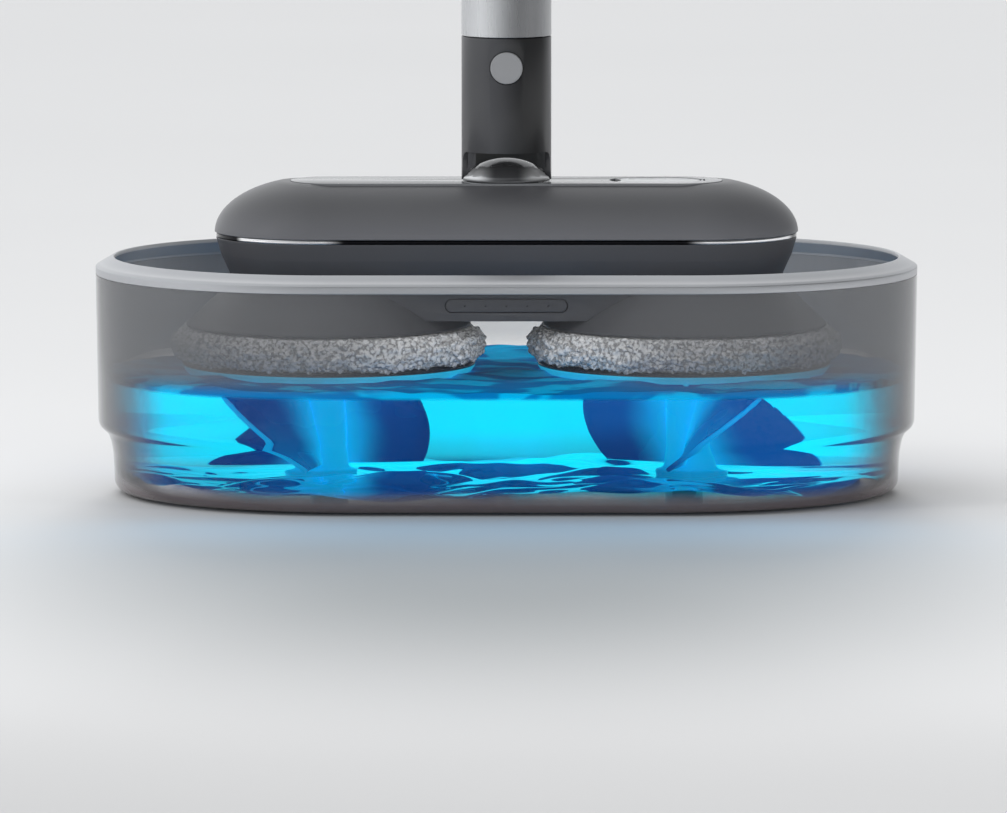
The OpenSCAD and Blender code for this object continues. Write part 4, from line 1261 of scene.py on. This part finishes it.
class SCRUBBER_OT_stage(bpy.types.Operator):
    """Sets the floor, the lights and the camera"""
    bl_idname = "scrubber.stage"
    bl_label = "Stage"

    AIM = Vector((-0.0017, 0.0, 0.0493))
    DISTANCE = 7.3
    ELEVATION = 6.0
    FIELD = 0.5842     # metres across the view at the aim

    def softbox(self, name, place, target, size, power, colour=(1, 1, 1)):
        lamp = bpy.data.lights.new(name, "AREA")
        lamp.shape = "RECTANGLE"
        lamp.size, lamp.size_y = size
        lamp.energy = power
        lamp.color = colour
        box = bpy.data.objects.new(name, lamp)
        bpy.context.scene.collection.objects.link(box)
        box.location = place
        box.rotation_euler = (Vector(target) - Vector(place)).to_track_quat("-Z", "Y").to_euler()
        return box

    def execute(self, context):
        settings = context.scene.scrubber_stage
        scene = context.scene
        clear_selection()
        bpy.ops.mesh.primitive_plane_add(size=60, location=(0, 0, 0))
        floor = bpy.context.object
        floor.name = "studio_floor"
        floor.data.materials.append(floor_paint(settings))

        world = bpy.data.worlds.new("studio")
        world.use_nodes = True
        background = world.node_tree.nodes["Background"]
        background.inputs["Color"].default_value = (0.97, 0.985, 1.0, 1.0)
        nodes, links = world.node_tree.nodes, world.node_tree.links
        direction = nodes.new("ShaderNodeTexCoord")
        towards = nodes.new("ShaderNodeVectorMath")
        towards.operation = "DOT_PRODUCT"
        towards.inputs[1].default_value = (-0.80, 0.55, 0.10)
        spread = nodes.new("ShaderNodeMapRange")
        spread.interpolation_type = "SMOOTHSTEP"
        for name, value in (("From Min", -0.75), ("From Max", 0.85), ("To Min", settings.sky * 0.22),
                            ("To Max", settings.sky * 2.1)):
            spread.inputs[name].default_value = value
        links.new(direction.outputs["Generated"], towards.inputs[0])
        links.new(towards.outputs["Value"], spread.inputs["Value"])
        links.new(spread.outputs["Result"], background.inputs["Strength"])
        scene.world = world

        sun = bpy.data.lights.new("soft_key", "SUN")
        sun.energy = settings.sun * 0.45
        sun.angle = math.radians(50)
        key = bpy.data.objects.new("soft_key", sun)
        scene.collection.objects.link(key)
        key.rotation_euler = (Vector((0.25, 0.1, -1.0))).to_track_quat("-Z", "Y").to_euler()
        low_sun = bpy.data.lights.new("back_light", "SUN")
        low_sun.energy = settings.sun * 2.15
        low_sun.angle = math.radians(24)
        back = bpy.data.objects.new("back_light", low_sun)
        scene.collection.objects.link(back)
        back.rotation_euler = (Vector((-0.01, -1.0, -0.42))).to_track_quat("-Z", "Y").to_euler()
        glow = self.softbox("water_glow", (0, -0.19, 0.09), (0, -0.30, 0.0), (0.42, 0.10), 0.15,
                            (0.08, 0.55, 1.0))
        fill = self.softbox("front_fill", (0.5, -3.0, 0.42), (0, 0, 0.14), (2.2, 0.7), 44)
        left = self.softbox("left_box", (-1.9, -0.9, 0.9), (0, 0, 0.15), (0.5, 1.6), 14)
        right = self.softbox("right_box", (2.3, -1.3, 0.8), (0, 0, 0.12), (0.35, 1.2), 15)
        for lamp in (key, back, glow, fill, left, right):
            lamp.visible_camera = False
            lamp.visible_glossy = False
            lamp.visible_transmission = False

        camera = bpy.data.cameras.new("view")
        camera.sensor_width = 36
        camera.lens = 36 * self.DISTANCE / self.FIELD
        camera.clip_end = 200
        eye = bpy.data.objects.new("view", camera)
        scene.collection.objects.link(eye)
        tilt = math.radians(self.ELEVATION)
        eye.location = self.AIM + Vector((0, -math.cos(tilt), math.sin(tilt))) * self.DISTANCE
        eye.rotation_euler = (self.AIM - eye.location).to_track_quat("-Z", "Y").to_euler()
        scene.camera = eye
        scene.view_settings.view_transform = "Standard"
        return {"FINISHED"}


class SCRUBBER_PT_panel(bpy.types.Panel):
    """Lists the pieces that can be built"""
    bl_idname = "SCRUBBER_PT_panel"
    bl_label = "Floor Scrubber"
    bl_space_type = "VIEW_3D"
    bl_region_type = "UI"
    bl_category = "Scrubber"

    def draw(self, context):
        for group, operators in GROUPS.items():
            box = self.layout.box()
            settings = getattr(context.scene, group)
            for name in settings.__annotations__:
                box.prop(settings, name)
            for operator in operators:
                box.operator(operator.bl_idname)


SETTINGS = {
    "scrubber_tub": TubSettings,
    "scrubber_water": WaterSettings,
    "scrubber_pads": PadSettings,
    "scrubber_head": HeadSettings,
    "scrubber_pole": PoleSettings,
    "scrubber_stage": StageSettings,
}
GROUPS = {
    "scrubber_stage": (SCRUBBER_OT_stage,),
    "scrubber_tub": (SCRUBBER_OT_tub,),
    "scrubber_water": (SCRUBBER_OT_water, SCRUBBER_OT_impellers),
    "scrubber_pads": (SCRUBBER_OT_pads,),
    "scrubber_head": (SCRUBBER_OT_housing, SCRUBBER_OT_cover),
    "scrubber_pole": (SCRUBBER_OT_neck, SCRUBBER_OT_pole, SCRUBBER_OT_handle, SCRUBBER_OT_works),
}


def register():
    for name, settings in SETTINGS.items():
        bpy.utils.register_class(settings)
        setattr(bpy.types.Scene, name, bpy.props.PointerProperty(type=settings))
    for operators in GROUPS.values():
        for operator in operators:
            bpy.utils.register_class(operator)
    bpy.utils.register_class(SCRUBBER_PT_panel)


def unregister():
    bpy.utils.unregister_class(SCRUBBER_PT_panel)
    for operators in GROUPS.values():
        for operator in operators:
            bpy.utils.unregister_class(operator)
    for name, settings in SETTINGS.items():
        delattr(bpy.types.Scene, name)
        bpy.utils.unregister_class(settings)


def main():
    register()
    for operators in GROUPS.values():
        for operator in operators:
            group, name = operator.bl_idname.split(".")
            getattr(getattr(bpy.ops, group), name)()


if __name__ == "__main__":
    main()
